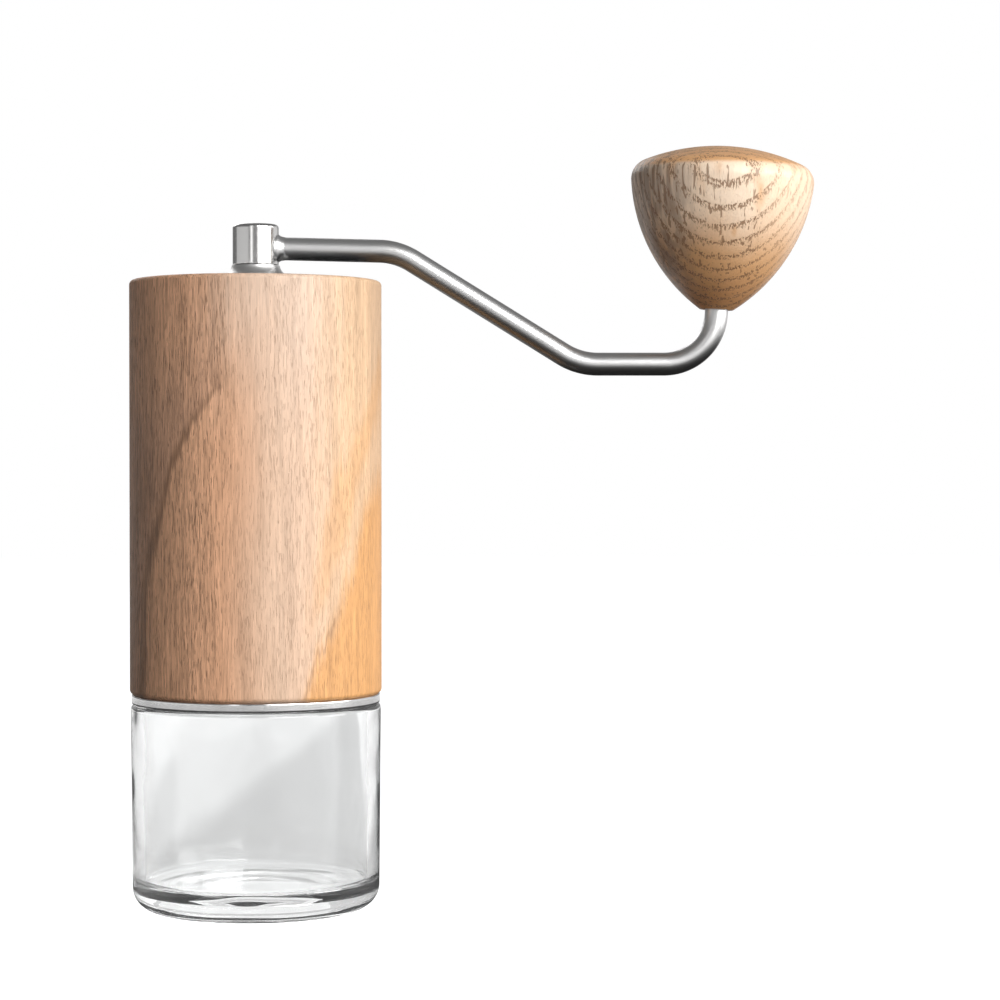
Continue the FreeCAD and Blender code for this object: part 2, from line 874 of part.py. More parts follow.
def make_ring_burr():
    """The outer burr: narrow fine teeth below, a throat, and a wide fluted mouth above."""
    ring = new_body("ring_burr", ring_burr_bottom)
    outer = ring_burr_radius
    height = size("ring_burr_height")
    fine = size("ring_fine_height")
    throat_top = fine + size("ring_throat_height")
    mouth = outer - size("ring_burr_wall")
    touch = cone_radius + size("burr_touch_gap")
    foot = touch - cone_slope * (size("cone_overhang") - size("grind_drop"))
    throat = foot - cone_slope * fine
    turn_loop(ring, [
        (foot, None),
        (outer, None),
        (outer, height),
        (mouth, height),
        (throat, throat_top),
        (throat, fine),
    ])
    rim = size("tooth_rim")
    twist = size("ring_flute_twist")
    depth = size("ring_flute_depth")
    flute = []
    for level, surface, depth_share in ((throat_top, throat, 0.2), (height + rim, mouth, 1.0)):
        turn = flute_turn(level, twist, height)
        flute.append((level, turn, surface + depth * depth_share, surface - rim, size("ring_flute_width")))
    repeat_round(ring, cut_groove(ring, "flute", flute), size("flute_count"))
    tooth = []
    for level, surface, depth_share in ((-rim / 4, foot, 1.0), (throat_top, throat, 0.5)):
        root = surface + size("tooth_depth") * depth_share
        half_width = radius("tooth_width") * (depth_share + 0.3)
        tooth.append((level, flute_turn(level, twist, height), root, surface - rim, half_width))
    repeat_round(ring, cut_groove(ring, "tooth", tooth), size("tooth_count"))
    return keep(ring, "ring_burr")


def make_axle():
    """The stepped shaft: thread, two flats, bearing seats round a thick middle, and a hexagon on top."""
    axle = new_body("axle", axle_bottom)
    seat = radius("bearing_bore")
    middle = radius("axle_middle_diameter")
    thread = radius("axle_thread_diameter")
    key = key_bottom - axle_bottom
    middle_bottom = lower_bearing_top - axle_bottom
    middle_top = upper_bearing_bottom - axle_bottom
    groove = upper_bearing_top - axle_bottom
    groove_top = groove + size("circlip_thickness") + size("circlip_play") * 2
    groove_radius = seat - size("circlip_groove_depth")
    round_top = groove_top + size("hex_root")
    turn_loop(axle, [
        (None, None),
        (thread, None),
        (thread, key),
        (seat, key),
        (seat, middle_bottom),
        (middle, middle_bottom),
        (middle, middle_top),
        (seat, middle_top),
        (seat, groove),
        (groove_radius, groove),
        (groove_radius, groove_top),
        (seat, groove_top),
        (seat, round_top),
        (None, round_top),
    ])
    hex_sketch = new_sketch(axle, "XY_Plane", round_top)
    draw_loop(hex_sketch, hexagon(size("hex_width")))
    raise_sketch(axle, hex_sketch, socket_top - size("hex_top_play") - axle_bottom - round_top)
    flats_top = cone_top + size("axle_key_spare") - axle_bottom
    flats = new_sketch(axle, "XY_Plane", flats_top)
    flat = radius("axle_flat_width")
    for side in (1, -1):
        low, high = (flat, seat + flat) if side > 0 else (-seat - flat, -flat)
        draw_loop(flats, rectangle(-seat - flat, seat + flat, low, high))
    sink_sketch(axle, flats, flats_top - key)
    return keep(axle, "axle")


def make_axle_circlip():
    """Holds the axle down against the upper bearing."""
    level = upper_bearing_top + size("circlip_play")
    inner = radius("bearing_bore") - size("circlip_groove_depth") + size("circlip_play")
    outer = radius("circlip_diameter")
    split_ring("axle_circlip", level, inner, outer, size("circlip_thickness"), size("circlip_mouth"))


def make_spring_washer():
    """The seat of the burr spring, under the lower bearing's inner race."""
    level = lower_bearing_bottom - size("washer_thickness")
    inner = radius("bearing_bore") + size("washer_play")
    turned_ring("spring_washer", level, inner, radius("washer_diameter"), size("washer_thickness"))


def coil(name, level, reach, wire, turns, height):
    """A coil spring of six-sided wire whose outer height is the given one."""
    helix = doc.addObject("Part::Helix", f"{name}_helix")
    bind(helix, "Radius", reach)
    bind(helix, "Height", height - wire)
    bind(helix, "Pitch", (height - wire) / turns)
    bind(helix, "Placement.Base.z", level + wire / 2)
    section = doc.addObject("Part::RegularPolygon", f"{name}_wire")
    section.Polygon = 6
    section.Placement.Rotation = FreeCAD.Rotation(FreeCAD.Vector(1, 0, 0), 90)
    bind(section, "Circumradius", wire / 2)
    bind(section, "Placement.Base.x", reach)
    bind(section, "Placement.Base.z", level + wire / 2)
    spring = doc.addObject("Part::Sweep", name)
    spring.Sections = [section]
    spring.Spine = (helix, [])
    spring.Solid = True
    spring.Frenet = True
    return spring


def make_burr_spring():
    """Presses the cone burr down on its dial."""
    gap = size("spring_seat_gap")
    bottom = cone_top + gap
    top = lower_bearing_bottom - size("washer_thickness") - gap
    wire = size("spring_wire")
    spring = coil("burr_spring", bottom, radius("spring_diameter"), wire, size("spring_turns"), top - bottom)
    return keep(spring, "burr_spring")


def make_click_disc():
    """The disc under the cone burr, with a circle of holes for the dial's balls."""
    thickness = size("click_disc_thickness")
    disc = new_body("click_disc", click_disc_bottom)
    turn_loop(disc, rectangle(radius("click_disc_bore"), radius("click_disc_diameter"), None, thickness))
    hole = new_sketch(disc, "XY_Plane", thickness)
    draw_circle(hole, radius("click_circle_diameter"), None, radius("click_hole_diameter"))
    repeat_round(disc, sink_sketch(disc, hole, thickness), size("click_count"))
    return keep(disc, "click_disc")


def click_pocket_depth():
    """Room for a ball and the spring under it."""
    return size("click_ball_diameter") + size("click_spring_height") + size("click_ball_seat") * 2


def make_adjusting_dial():
    """The grind nut: scalloped grip, threaded bore, and two pockets for the click balls."""
    dial = new_body("adjusting_dial", dial_bottom)
    outer = radius("dial_diameter")
    height = size("dial_height")
    chamfer = size("dial_edge_chamfer")
    bore = radius("axle_thread_diameter") + size("dial_thread_play")
    turn_loop(dial, [
        (bore, None),
        (outer - chamfer, None),
        (outer, chamfer),
        (outer, height - chamfer),
        (outer - chamfer, height),
        (bore, height),
    ])
    scallop = new_sketch(dial, "XY_Plane", height)
    reach = radius("dial_scallop_diameter")
    draw_circle(scallop, outer + reach - size("dial_scallop_depth"), None, reach)
    repeat_round(dial, sink_sketch(dial, scallop, height), size("dial_scallop_count"))
    pockets = new_sketch(dial, "XY_Plane", height)
    for side in (1, -1):
        across = radius("click_circle_diameter") * side
        draw_circle(pockets, across, None, radius("click_ball_diameter") + size("click_pocket_play"))
    sink_sketch(dial, pockets, click_pocket_depth())
    return keep(dial, "adjusting_dial")


def make_click_balls():
    """The two balls, pressed flush with the dial's face as they ride between two holes."""
    balls = []
    for side in (1, -1):
        ball = doc.addObject("Part::Sphere", "click_ball")
        bind(ball, "Radius", radius("click_ball_diameter"))
        bind(ball, "Placement.Base.x", radius("click_circle_diameter") * side)
        bind(ball, "Placement.Base.z", dial_top - radius("click_ball_diameter"))
        balls.append(ball)
    pair = doc.addObject("Part::Compound", "click_balls")
    pair.Links = balls
    return keep(pair, "click_balls")


def make_click_springs():
    """The two small springs under the balls."""
    springs = []
    wire = size("click_spring_wire")
    reach = radius("click_ball_diameter") - wire / 2
    level = dial_top - click_pocket_depth() + size("click_ball_seat")
    for side in (1, -1):
        spring = coil(f"click_spring_{len(springs)}", level, reach, wire, size("click_spring_turns"),
                      size("click_spring_height"))
        bind(spring, "Placement.Base.x", radius("click_circle_diameter") * side)
        springs.append(spring)
    pair = doc.addObject("Part::Compound", "click_springs")
    pair.Links = springs
    return keep(pair, "click_springs")


def make_lid():
    """The clear lid: a shallow dome with a flared boss for the hub and a skirt inside the liner."""
    lid = new_body("lid", lid_seat)
    outer = lid_radius
    edge = size("lid_edge")
    seat = size("lid_seat_gap")
    thickness = size("lid_thickness")
    flare = radius("lid_flare_diameter")
    flare_rise = size("lid_flare_rise")
    boss = hub_radius + size("lid_boss_rim")
    rise = size("lid_rise")
    hole = hub_neck_radius + size("hub_neck_play")
    skirt_outer = liner_bore - size("lid_skirt_play")
    skirt_inner = skirt_outer - size("lid_skirt_wall")
    skirt = -size("lid_skirt_depth")
    boss_bottom = rise - size("lid_boss_thickness")
    dome = size("lid_dome_radius")
    turn_loop(lid, [
        (skirt_outer, skirt),
        (skirt_outer, seat),
        (outer, seat),
        (outer, edge),
        (flare, flare_rise),
        (boss, rise),
        (hole, rise),
        (hole, boss_bottom),
        (radius("lid_clip_diameter") + size("lid_clip_room"), boss_bottom),
        (flare, flare_rise - thickness),
        (skirt_inner, edge - thickness + seat * 2),
        (skirt_inner, skirt),
    ], {3: (dome, 1), 9: (dome, -1)})
    return keep(lid, "lid")


def make_lid_clip():
    """Holds the lid on the hub's neck."""
    level = lid_clip_level()
    inner = hub_neck_radius - size("lid_clip_groove_depth") + size("lid_clip_play")
    outer = radius("lid_clip_diameter")
    split_ring("lid_clip", level, inner, outer, size("lid_clip_thickness"), size("lid_clip_mouth"))


def lid_clip_level():
    """The clip lies just under the lid's boss."""
    boss_bottom = lid_seat + size("lid_rise") - size("lid_boss_thickness")
    return boss_bottom - size("lid_clip_play") * 2 - size("lid_clip_thickness")


def rod_sketch(body):
    """A sketch in the XZ plane whose horizontal axis is the drooping axis of the arm at the hub."""
    sketch = new_sketch(body, "XZ_Plane", None, -size("arm_droop"))
    bind(sketch, "AttachmentOffset.Base.y", size("arm_rise"))
    return sketch


def make_crank_hub():
    """The hub: a round head with a neck through the lid, a hexagon socket and the weld's flare."""
    hub = new_body("crank_hub", hub_bottom)
    head = hub_radius
    height = size("hub_height")
    neck = hub_neck_radius
    neck_end = -size("hub_neck_length")
    groove = lid_clip_level() - hub_bottom - size("lid_clip_play")
    groove_top = groove + size("lid_clip_thickness") + size("lid_clip_play") * 2
    groove_radius = neck - size("lid_clip_groove_depth")
    turn_loop(hub, [
        (None, neck_end),
        (neck, neck_end),
        (neck, groove),
        (groove_radius, groove),
        (groove_radius, groove_top),
        (neck, groove_top),
        (neck, None),
        (head, None),
        (head, height),
        (None, height),
    ])
    round_rings(hub, [(head, height)], size("hub_edge_round"))
    rod = radius("arm_diameter")
    root = hub_radius - size("weld_depth")
    weld = rod_sketch(hub)
    reach = head + size("weld_reach")
    crown = rod + size("weld_height")
    draw_loop(weld, [
        (root, rod / 2),
        (reach, rod / 2),
        (reach, rod + size("arm_fit") * 2),
        (head - size("weld_reach") / 2, crown),
        (root, crown),
    ], {2: (size("weld_reach") * 3, -1)})
    flare = hub.newObject("PartDesign::Revolution", "crank_hub_weld")
    flare.Profile = weld
    flare.ReferenceAxis = (weld, ["H_Axis"])
    flare.Angle = 360.0
    doc.recompute()
    seat = rod_sketch(hub)
    draw_loop(seat, rectangle(arm_seat, reach + rod, None, rod + size("arm_fit")))
    bore = hub.newObject("PartDesign::Groove", "crank_hub_seat")
    bore.Profile = seat
    bore.ReferenceAxis = (seat, ["H_Axis"])
    bore.Angle = 360.0
    doc.recompute()
    socket = new_sketch(hub, "XY_Plane", socket_top - hub_bottom)
    draw_loop(socket, hexagon(size("hex_width") + size("hex_play") * 2))
    sink_sketch(hub, socket, socket_top - neck_bottom)
    return keep(hub, "crank_hub")


def knob_foot():
    """Where the knob's foot stands on its pin, from the axle and from the arm's level at the axle."""
    return size("crank_reach"), size("knob_foot_rise") - size("arm_drop")


def draw_arm_path(sketch):
    """The rod's middle line: four straight runs joined by tangent bends.

    The first run droops from the hub, the second slopes down, the third is level and the last is the
    knob's pin, which leans outwards.
    """
    droop = size("arm_droop")
    slope = size("arm_slope")
    tilt = size("knob_tilt")
    bend = size("arm_bend_radius")
    grip_bend = size("grip_bend_radius")
    shoulder = size("arm_shoulder")
    drop = size("arm_drop")
    foot_x, foot_z = knob_foot()
    start = (arm_start, -arm_start * tangent(droop))
    first = (shoulder, -shoulder * tangent(droop))
    second = (shoulder + (drop - shoulder * tangent(droop)) / tangent(slope), -drop)
    third = (foot_x - size("knob_foot_rise") * tangent(tilt), -drop)
    end = (foot_x + size("pin_length") * sine(tilt), foot_z + size("pin_length") * cosine(tilt))
    corners = [FreeCAD.Vector(x.value, z.value, 0) for x, z in (start, first, second, third, end)]
    turns = (slope - droop, slope, Size(90.0, "90") - tilt)
    bends = (bend, bend, grip_bend)
    cut = [reach.value * math.tan(math.radians(turn.value) / 2) for reach, turn in zip(bends, turns)]
    runs = []
    for number in range(4):
        way = (corners[number + 1] - corners[number]).normalize()
        run_start = corners[number] + way * (cut[number - 1] if number > 0 else 0.0)
        run_end = corners[number + 1] - way * (cut[number] if number < 3 else 0.0)
        runs.append((run_start, run_end))
        sketch.addGeometry(Part.LineSegment(run_start, run_end), False)
    for number, bulge in enumerate((-1, 1, 1)):
        before, after = runs[number][1], runs[number + 1][0]
        edge = sketch.addGeometry(arc_between(before, after, bends[number].value, bulge), False)
        entry, leave = (1, 2) if bulge > 0 else (2, 1)
        sketch.addConstraint(Sketcher.Constraint("Tangent", number, 2, edge, entry))
        sketch.addConstraint(Sketcher.Constraint("Tangent", edge, leave, number + 1, 1))
        index = sketch.addConstraint(Sketcher.Constraint("Radius", edge, bends[number].value))
        bind(sketch, f"Constraints[{index}]", bends[number])
    hold_point(sketch, 0, 1, *start)
    hold_point(sketch, 3, 2, *end)
    first_bend = shoulder - bend * tangent((slope - droop) / 2) * cosine(droop)
    hold_point(sketch, 0, 2, first_bend, -first_bend * tangent(droop))
    for edge, angle in ((1, -slope), (3, Size(90.0, "90") - tilt)):
        index = sketch.addConstraint(Sketcher.Constraint("Angle", edge, math.radians(angle.value)))
        sketch.setExpression(f"Constraints[{index}]", f"{angle.formula} * 1 deg")
    sketch.addConstraint(Sketcher.Constraint("Horizontal", 2))
    index = sketch.addConstraint(Sketcher.Constraint("DistanceY", -1, 1, 2, 1, -drop.value))
    bind(sketch, f"Constraints[{index}]", -drop)


def make_crank_arm():
    """The bent rod from the hub to the knob's pin, with a groove for the pin's clip."""
    arm = new_body("crank_arm", arm_level)
    path = new_sketch(arm, "XZ_Plane")
    draw_arm_path(path)
    section = new_sketch(arm, "YZ_Plane", arm_start)
    draw_circle(section, None, -arm_start * tangent(size("arm_droop")), radius("arm_diameter"))
    doc.recompute()
    rod = arm.newObject("PartDesign::AdditivePipe", "crank_arm_rod")
    rod.Profile = section
    rod.Spine = (path, [f"Edge{number}" for number in range(1, 8)])
    doc.recompute()
    groove = new_sketch(arm, "XZ_Plane", None, -size("knob_tilt"))
    foot_x, foot_z = knob_foot()
    bind(groove, "AttachmentOffset.Base.x", foot_x)
    bind(groove, "AttachmentOffset.Base.y", foot_z)
    low = knob_clip_height() - size("knob_clip_play")
    high = knob_clip_height() + size("knob_clip_thickness") + size("knob_clip_play")
    outside = pin_radius + size("knob_clip_groove_depth")
    draw_loop(groove, rectangle(pin_radius - size("knob_clip_groove_depth"), outside, low, high))
    ring = arm.newObject("PartDesign::Groove", "crank_arm_groove")
    ring.Profile = groove
    ring.ReferenceAxis = (groove, ["V_Axis"])
    ring.Angle = 360.0
    doc.recompute()
    return keep(arm, "crank_arm")


def knob_clip_height():
    """The clip lies above the knob's sleeve, measured along the pin from the knob's foot."""
    return size("bush_foot_gap") + size("bush_length") + size("knob_clip_gap")


def seat_on_pin(body):
    """Stands a body on the knob's leaning pin, its z = 0 at the knob's foot."""
    foot_x, foot_z = knob_foot()
    lean = FreeCAD.Rotation(FreeCAD.Vector(0, 1, 0), size("knob_tilt").value)
    body.Placement = FreeCAD.Placement(FreeCAD.Vector(), lean)
    bind(body, "Placement.Base.x", foot_x)
    bind(body, "Placement.Base.z", arm_level + foot_z)
    bind(body, "Placement.Rotation.Angle", size("knob_tilt"))


def make_knob():
    """The turned knob: bulging sides from a small foot, a rounded shoulder and a flat dome."""
    knob = new_body("knob")
    top = radius("knob_diameter")
    height = size("knob_height")
    shoulder = height - size("knob_dome_rise")
    cap = height - shoulder
    dome = (top * top + cap * cap) / (cap * 2)
    bore_end = size("pin_length") + size("knob_bore_spare")
    turn_loop(knob, [
        (knob_bore, None),
        (radius("knob_foot_diameter"), None),
        (top, shoulder),
        (None, height),
        (None, bore_end),
        (knob_bore, bore_end),
    ], {1: (size("knob_side_radius"), 1), 2: (dome, 1)})
    round_rings(knob, [(top, shoulder)], size("knob_shoulder_round"))
    seat_on_pin(knob)
    return keep(knob, "knob")


def make_knob_bush():
    """The thin sleeve in the knob that turns on the pin."""
    bush = new_body("knob_bush")
    foot = size("bush_foot_gap")
    inner = pin_radius + size("bush_play")
    turn_loop(bush, rectangle(inner, inner + size("bush_wall"), foot, foot + size("bush_length")))
    seat_on_pin(bush)
    return keep(bush, "knob_bush")


def make_knob_clip():
    """The ring in the pin's groove that keeps the knob on."""
    clip = new_body("knob_clip")
    low = knob_clip_height()
    inner = pin_radius - size("knob_clip_groove_depth") + size("knob_clip_play")
    outer = inner + size("knob_clip_groove_depth") + size("bush_wall") / 2
    turn_loop(clip, rectangle(inner, outer, low, low + size("knob_clip_thickness")))
    seat_on_pin(clip)
    return keep(clip, "knob_clip")


def check_document():
    """Stops on any failed feature or broken solid."""
    doc.recompute()
    for item in doc.Objects:
        if "Invalid" in item.State or "Error" in item.State:
            raise RuntimeError(f"{item.Label} failed: {item.State}")
    for item in SUBPARTS:
        if item.Shape.isNull() or not item.Shape.isValid() or not item.Shape.Solids:
            raise RuntimeError(f"{item.Label} has no valid solid")


make_glass_jar()
make_jar_seal()
make_jar_collar()
make_wooden_sleeve()
make_steel_liner()
make_burr_carrier()
make_ring_burr()
make_burr_lock_ring()
make_hopper_funnel()
make_bridge("lower_bridge", lower_bridge_bottom, False)
make_hopper_spacer()
make_bridge("upper_bridge", upper_bridge_bottom, True)
make_snap_ring()
make_bearing("lower", lower_bearing_bottom)
make_bearing("upper", upper_bearing_bottom)
make_axle()
make_axle_circlip()
make_spring_washer()
make_burr_spring()
make_cone_burr()
make_click_disc()
make_adjusting_dial()
make_click_balls()
make_click_springs()
make_lid()
make_crank_hub()
make_lid_clip()
make_crank_arm()
make_knob()
make_knob_bush()
make_knob_clip()
check_document()
os.makedirs("parts", exist_ok=True)
for subpart in SUBPARTS:
    subpart.Shape.exportStep(os.path.join("parts", f"{subpart.Label}.step"))
    print(subpart.Label, round(subpart.Shape.Volume, 1), len(subpart.Shape.Solids))
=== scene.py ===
import json
import math

import bmesh
import bpy
import numpy as np
from bpy.props import FloatProperty, FloatVectorProperty, IntProperty, PointerProperty
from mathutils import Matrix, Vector

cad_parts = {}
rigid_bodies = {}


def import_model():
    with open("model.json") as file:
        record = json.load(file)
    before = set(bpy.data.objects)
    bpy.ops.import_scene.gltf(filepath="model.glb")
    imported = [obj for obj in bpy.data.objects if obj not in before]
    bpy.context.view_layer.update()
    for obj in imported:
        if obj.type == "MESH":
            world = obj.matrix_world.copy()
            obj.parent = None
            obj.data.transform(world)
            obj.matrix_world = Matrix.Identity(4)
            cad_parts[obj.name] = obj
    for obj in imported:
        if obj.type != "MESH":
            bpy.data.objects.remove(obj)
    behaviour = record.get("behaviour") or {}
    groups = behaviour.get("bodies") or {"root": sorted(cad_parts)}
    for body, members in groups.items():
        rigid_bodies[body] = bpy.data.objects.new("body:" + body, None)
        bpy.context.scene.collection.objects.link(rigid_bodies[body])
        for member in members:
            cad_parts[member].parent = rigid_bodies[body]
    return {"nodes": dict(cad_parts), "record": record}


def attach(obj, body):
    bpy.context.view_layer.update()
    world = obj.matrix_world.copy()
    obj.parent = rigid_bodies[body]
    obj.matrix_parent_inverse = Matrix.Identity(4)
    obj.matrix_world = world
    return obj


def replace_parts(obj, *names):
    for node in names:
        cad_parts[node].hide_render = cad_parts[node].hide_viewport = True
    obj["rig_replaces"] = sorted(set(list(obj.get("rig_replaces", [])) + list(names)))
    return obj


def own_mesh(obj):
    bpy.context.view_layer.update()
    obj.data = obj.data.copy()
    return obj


bl_info = {
    "name": "Hand Coffee Grinder",
    "version": (1, 0, 0),
    "blender": (4, 5, 0),
    "location": "View3D > Sidebar > Grinder",
    "description": "Builds the looks of a wooden hand coffee grinder on its packed frame",
    "category": "Object",
}

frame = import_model()

# Lengths are in millimetres until a mesh is made.
MM = 0.001
JAR_HEIGHT = 48.7
HOLLOW_RADIUS = 19.0
HOLLOW_DEPTH = 3.6
COLLAR_BOTTOM = 48.9
BODY_BOTTOM = 51.3
BODY_TOP = 149.7
COLLAR_TOP = 60.9
SPRING_BOTTOM = 85.2
SPRING_TOP = 94.55
LID_SEAT = 148.3
HUB_BOTTOM = 153.5
HUB_RADIUS = 5.5
ARM_LEVEL = 157.6
BODY_RADIUS = 30.0
ROD_RADIUS = 2.75
ARM_DROOP = math.radians(1.4)
KNOB_FOOT = np.array([110.1, 0.0, 142.9])
KNOB_TILT = math.radians(2.6)
# The stage is in metres: the camera's place, and how far it looks down.
CAMERA_PLACE = (0.05837, -0.6488, 0.10703)
CAMERA_PITCH = math.radians(0.849)
# Colour, least and greatest roughness.
SPRING_LOOK = ((0.36, 0.36, 0.38), 0.2, 0.34)


# Shapes

def round_angles(columns):
    """Angles evenly round a circle."""
    return np.linspace(0, 2 * math.pi, columns, endpoint=False)


def arc_centre(start, end, radius, bulge):
    """The centre of an arc from start to end that bulges to the right of that way for bulge +1.

    It lies on the chord's perpendicular bisector, the square root of radius squared less half the
    chord squared away from it.
    """
    chord = np.subtract(end, start)
    half = np.linalg.norm(chord) / 2
    aside = np.array([-chord[1], chord[0]]) / (2 * half) * bulge
    return np.add(start, end) / 2 + aside * math.sqrt(radius ** 2 - half ** 2)


def arc(start, end, radius, bulge, steps):
    """Points of a circular arc: the angle about its centre runs evenly from end to end."""
    centre = arc_centre(start, end, radius, bulge)
    first = math.atan2(*np.subtract(start, centre)[::-1])
    half = np.linalg.norm(np.subtract(end, start)) / 2
    angle = first + 2 * math.asin(half / radius) * bulge * np.linspace(0, 1, steps + 1)
    return centre + radius * np.stack([np.cos(angle), np.sin(angle)], axis=1)


def rounded_path(corners, radii, closed=True, steps=8, hold=0.12):
    """Points along straight runs whose corners are rounded by tangent arcs.

    Each arc's centre lies on the bisector of its corner, the radius over the sine of half the
    corner's angle away. A point a little before and after each arc keeps the flat runs flat when
    shaded.
    """
    points = np.asarray(corners, float)
    count = len(points)
    runs = []
    for number in range(count):
        here, radius = points[number], radii[number]
        if radius <= 0 or (not closed and number in (0, count - 1)):
            runs.append(here[None])
            continue
        back = points[number - 1] - here
        ahead = points[(number + 1) % count] - here
        back /= np.linalg.norm(back)
        ahead /= np.linalg.norm(ahead)
        half = math.acos(np.clip(back @ ahead, -1, 1)) / 2
        start = here + back * radius / math.tan(half)
        end = here + ahead * radius / math.tan(half)
        middle = (back + ahead) / np.linalg.norm(back + ahead)
        centre = here + middle * radius / math.sin(half)
        sweep = math.pi - 2 * half
        share = np.linspace(0, 1, steps + 1)[:, None]
        bow = np.sin((1 - share) * sweep) * (start - centre)
        bow = centre + (bow + np.sin(share * sweep) * (end - centre)) / math.sin(sweep)
        runs.append(np.vstack([start + back * hold, bow, end + ahead * hold]))
    return np.vstack(runs)


def distances(path):
    """How far along a path each of its points lies."""
    steps = np.linalg.norm(np.diff(path, axis=0), axis=1)
    return np.concatenate([[0], np.cumsum(steps)])


def with_points(path, extra):
    """A path with points added at extra distances, and the distances of all its points."""
    travel = distances(path)
    places = np.unique(np.concatenate([travel, extra]))
    return np.stack([np.interp(places, travel, values) for values in path.T], axis=1), places


def finer(path, spacing):
    """The same path with points added so that no step is longer than the spacing."""
    length = distances(path)[-1]
    return with_points(path, np.linspace(0, length, max(2, int(length / spacing))))[0]


def turned(profile, columns, swell=None):
    """A surface of revolution: x = r cos(a), y = r sin(a), z = z for each profile point (r, z).

    The swell, a function of the angle and the level, is added to the radius.
    """
    angle = round_angles(columns)[None]
    reach = np.repeat(profile[:, :1], columns, axis=1)
    level = np.repeat(profile[:, 1:], columns, axis=1)
    if swell is not None:
        reach = reach + swell(angle, level)
    return np.stack([reach * np.cos(angle), reach * np.sin(angle), level], axis=2)


def swept(path, reach, columns):
    """A round rod along a path in the XZ plane: centre + radius times (normal cos(a) + Y sin(a)).

    The normal is the path's direction turned by a right angle in its plane.
    """
    way = np.gradient(path, axis=0)
    way /= np.linalg.norm(way, axis=1)[:, None]
    normal = np.stack([-way[:, 1], way[:, 0]], axis=1)
    angle = round_angles(columns)[None]
    reach = reach[:, None]
    x = path[:, :1] + reach * normal[:, :1] * np.cos(angle)
    z = path[:, 1:] + reach * normal[:, 1:] * np.cos(angle)
    return np.stack([x, -reach * np.sin(angle), z], axis=2)


def tilted(points, foot, angle):
    """Points turned about Y by the angle and moved to the foot."""
    x = points[..., 0] * math.cos(angle) + points[..., 2] * math.sin(angle)
    z = points[..., 2] * math.cos(angle) - points[..., 0] * math.sin(angle)
    return np.stack([x, points[..., 1], z], axis=-1) + foot


def surface(name, points, wrap=False):
    """An object from a grid of points: quads between neighbours, closed round each row.

    With wrap the last row joins the first. Points that fall together on the axis are merged.
    """
    rows, columns = points.shape[:2]
    number = np.arange(rows * columns).reshape(rows, columns)
    low = number if wrap else number[:-1]
    high = np.roll(number, -1, axis=0) if wrap else number[1:]
    quads = np.stack([low, np.roll(low, -1, axis=1), np.roll(high, -1, axis=1), high], axis=-1)
    quads = quads.reshape(-1, 4)
    mesh = bpy.data.meshes.new(name)
    mesh.vertices.add(rows * columns)
    mesh.vertices.foreach_set("co", (points * MM).astype(np.float32).ravel())
    mesh.loops.add(quads.size)
    mesh.loops.foreach_set("vertex_index", quads.ravel().astype(np.int32))
    mesh.polygons.add(len(quads))
    mesh.polygons.foreach_set("loop_start", np.arange(0, quads.size, 4, dtype=np.int32))
    mesh.update(calc_edges=True)
    work = bmesh.new()
    work.from_mesh(mesh)
    bmesh.ops.remove_doubles(work, verts=work.verts, dist=2e-7)
    bmesh.ops.recalc_face_normals(work, faces=work.faces)
    work.to_mesh(mesh)
    work.free()
    mesh.shade_smooth()
    mesh.set_sharp_from_angle(angle=math.radians(32))
    made = bpy.data.objects.new(name, mesh)
    bpy.context.scene.collection.objects.link(made)
    return made


def settle(piece, material, body, slot, *nodes):
    """Gives a piece its material, its body and slot, and the CAD nodes that it stands for."""
    piece.data.materials.clear()
    piece.data.materials.append(material)
    if nodes:
        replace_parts(piece, *nodes)
    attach(piece, body)


# Materials

def feed(node, inputs):
    """Feeds each of a node's inputs from a socket or a plain value."""
    for key, value in dict(inputs).items():
        if isinstance(value, bpy.types.NodeSocket):
            node.id_data.links.new(value, node.inputs[key])
        else:
            node.inputs[key].default_value = value


def put(tree, kind, inputs=(), **settings):
    """Adds a node with its settings and feeds its inputs."""
    made = tree.nodes.new(kind)
    for key, value in settings.items():
        setattr(made, key, value)
    feed(made, inputs)
    return made


def home(*values):
    """The node tree that the first socket among the values is in."""
    return next(value.id_data for value in values if isinstance(value, bpy.types.NodeSocket))


def calc(operation, *values, clamp=False):
    """The result of a maths node."""
    inputs = enumerate(values)
    made = put(home(*values), "ShaderNodeMath", inputs, operation=operation, use_clamp=clamp)
    return made.outputs[0]


def times(first, second):
    """The product of two values."""
    return calc("MULTIPLY", first, second)


def plus(first, second, clamp=False):
    """The sum of two values."""
    return calc("ADD", first, second, clamp=clamp)


def less(first, second):
    """The first value less the second."""
    return calc("SUBTRACT", first, second)


def vector(operation, first, second=(0, 0, 0)):
    """The result of a vector maths node: a number for a length, or else a vector."""
    made = put(home(first), "ShaderNodeVectorMath", {0: first, 1: second}, operation=operation)
    return made.outputs["Value" if operation == "LENGTH" else "Vector"]


def ease(value, low, high):
    """0 below low and 1 above high, with a smooth step between them."""
    inputs = {"Value": value, "From Min": low, "From Max": high, "To Min": 0.0, "To Max": 1.0}
    made = put(home(value), "ShaderNodeMapRange", inputs, interpolation_type="SMOOTHSTEP")
    return made.outputs["Result"]


def spread(value, low, high):
    """A value from 0 to 1 carried over to the range from low to high."""
    inputs = {"Value": value, "From Min": 0.0, "From Max": 1.0, "To Min": low, "To Max": high}
    return put(home(value), "ShaderNodeMapRange", inputs).outputs["Result"]


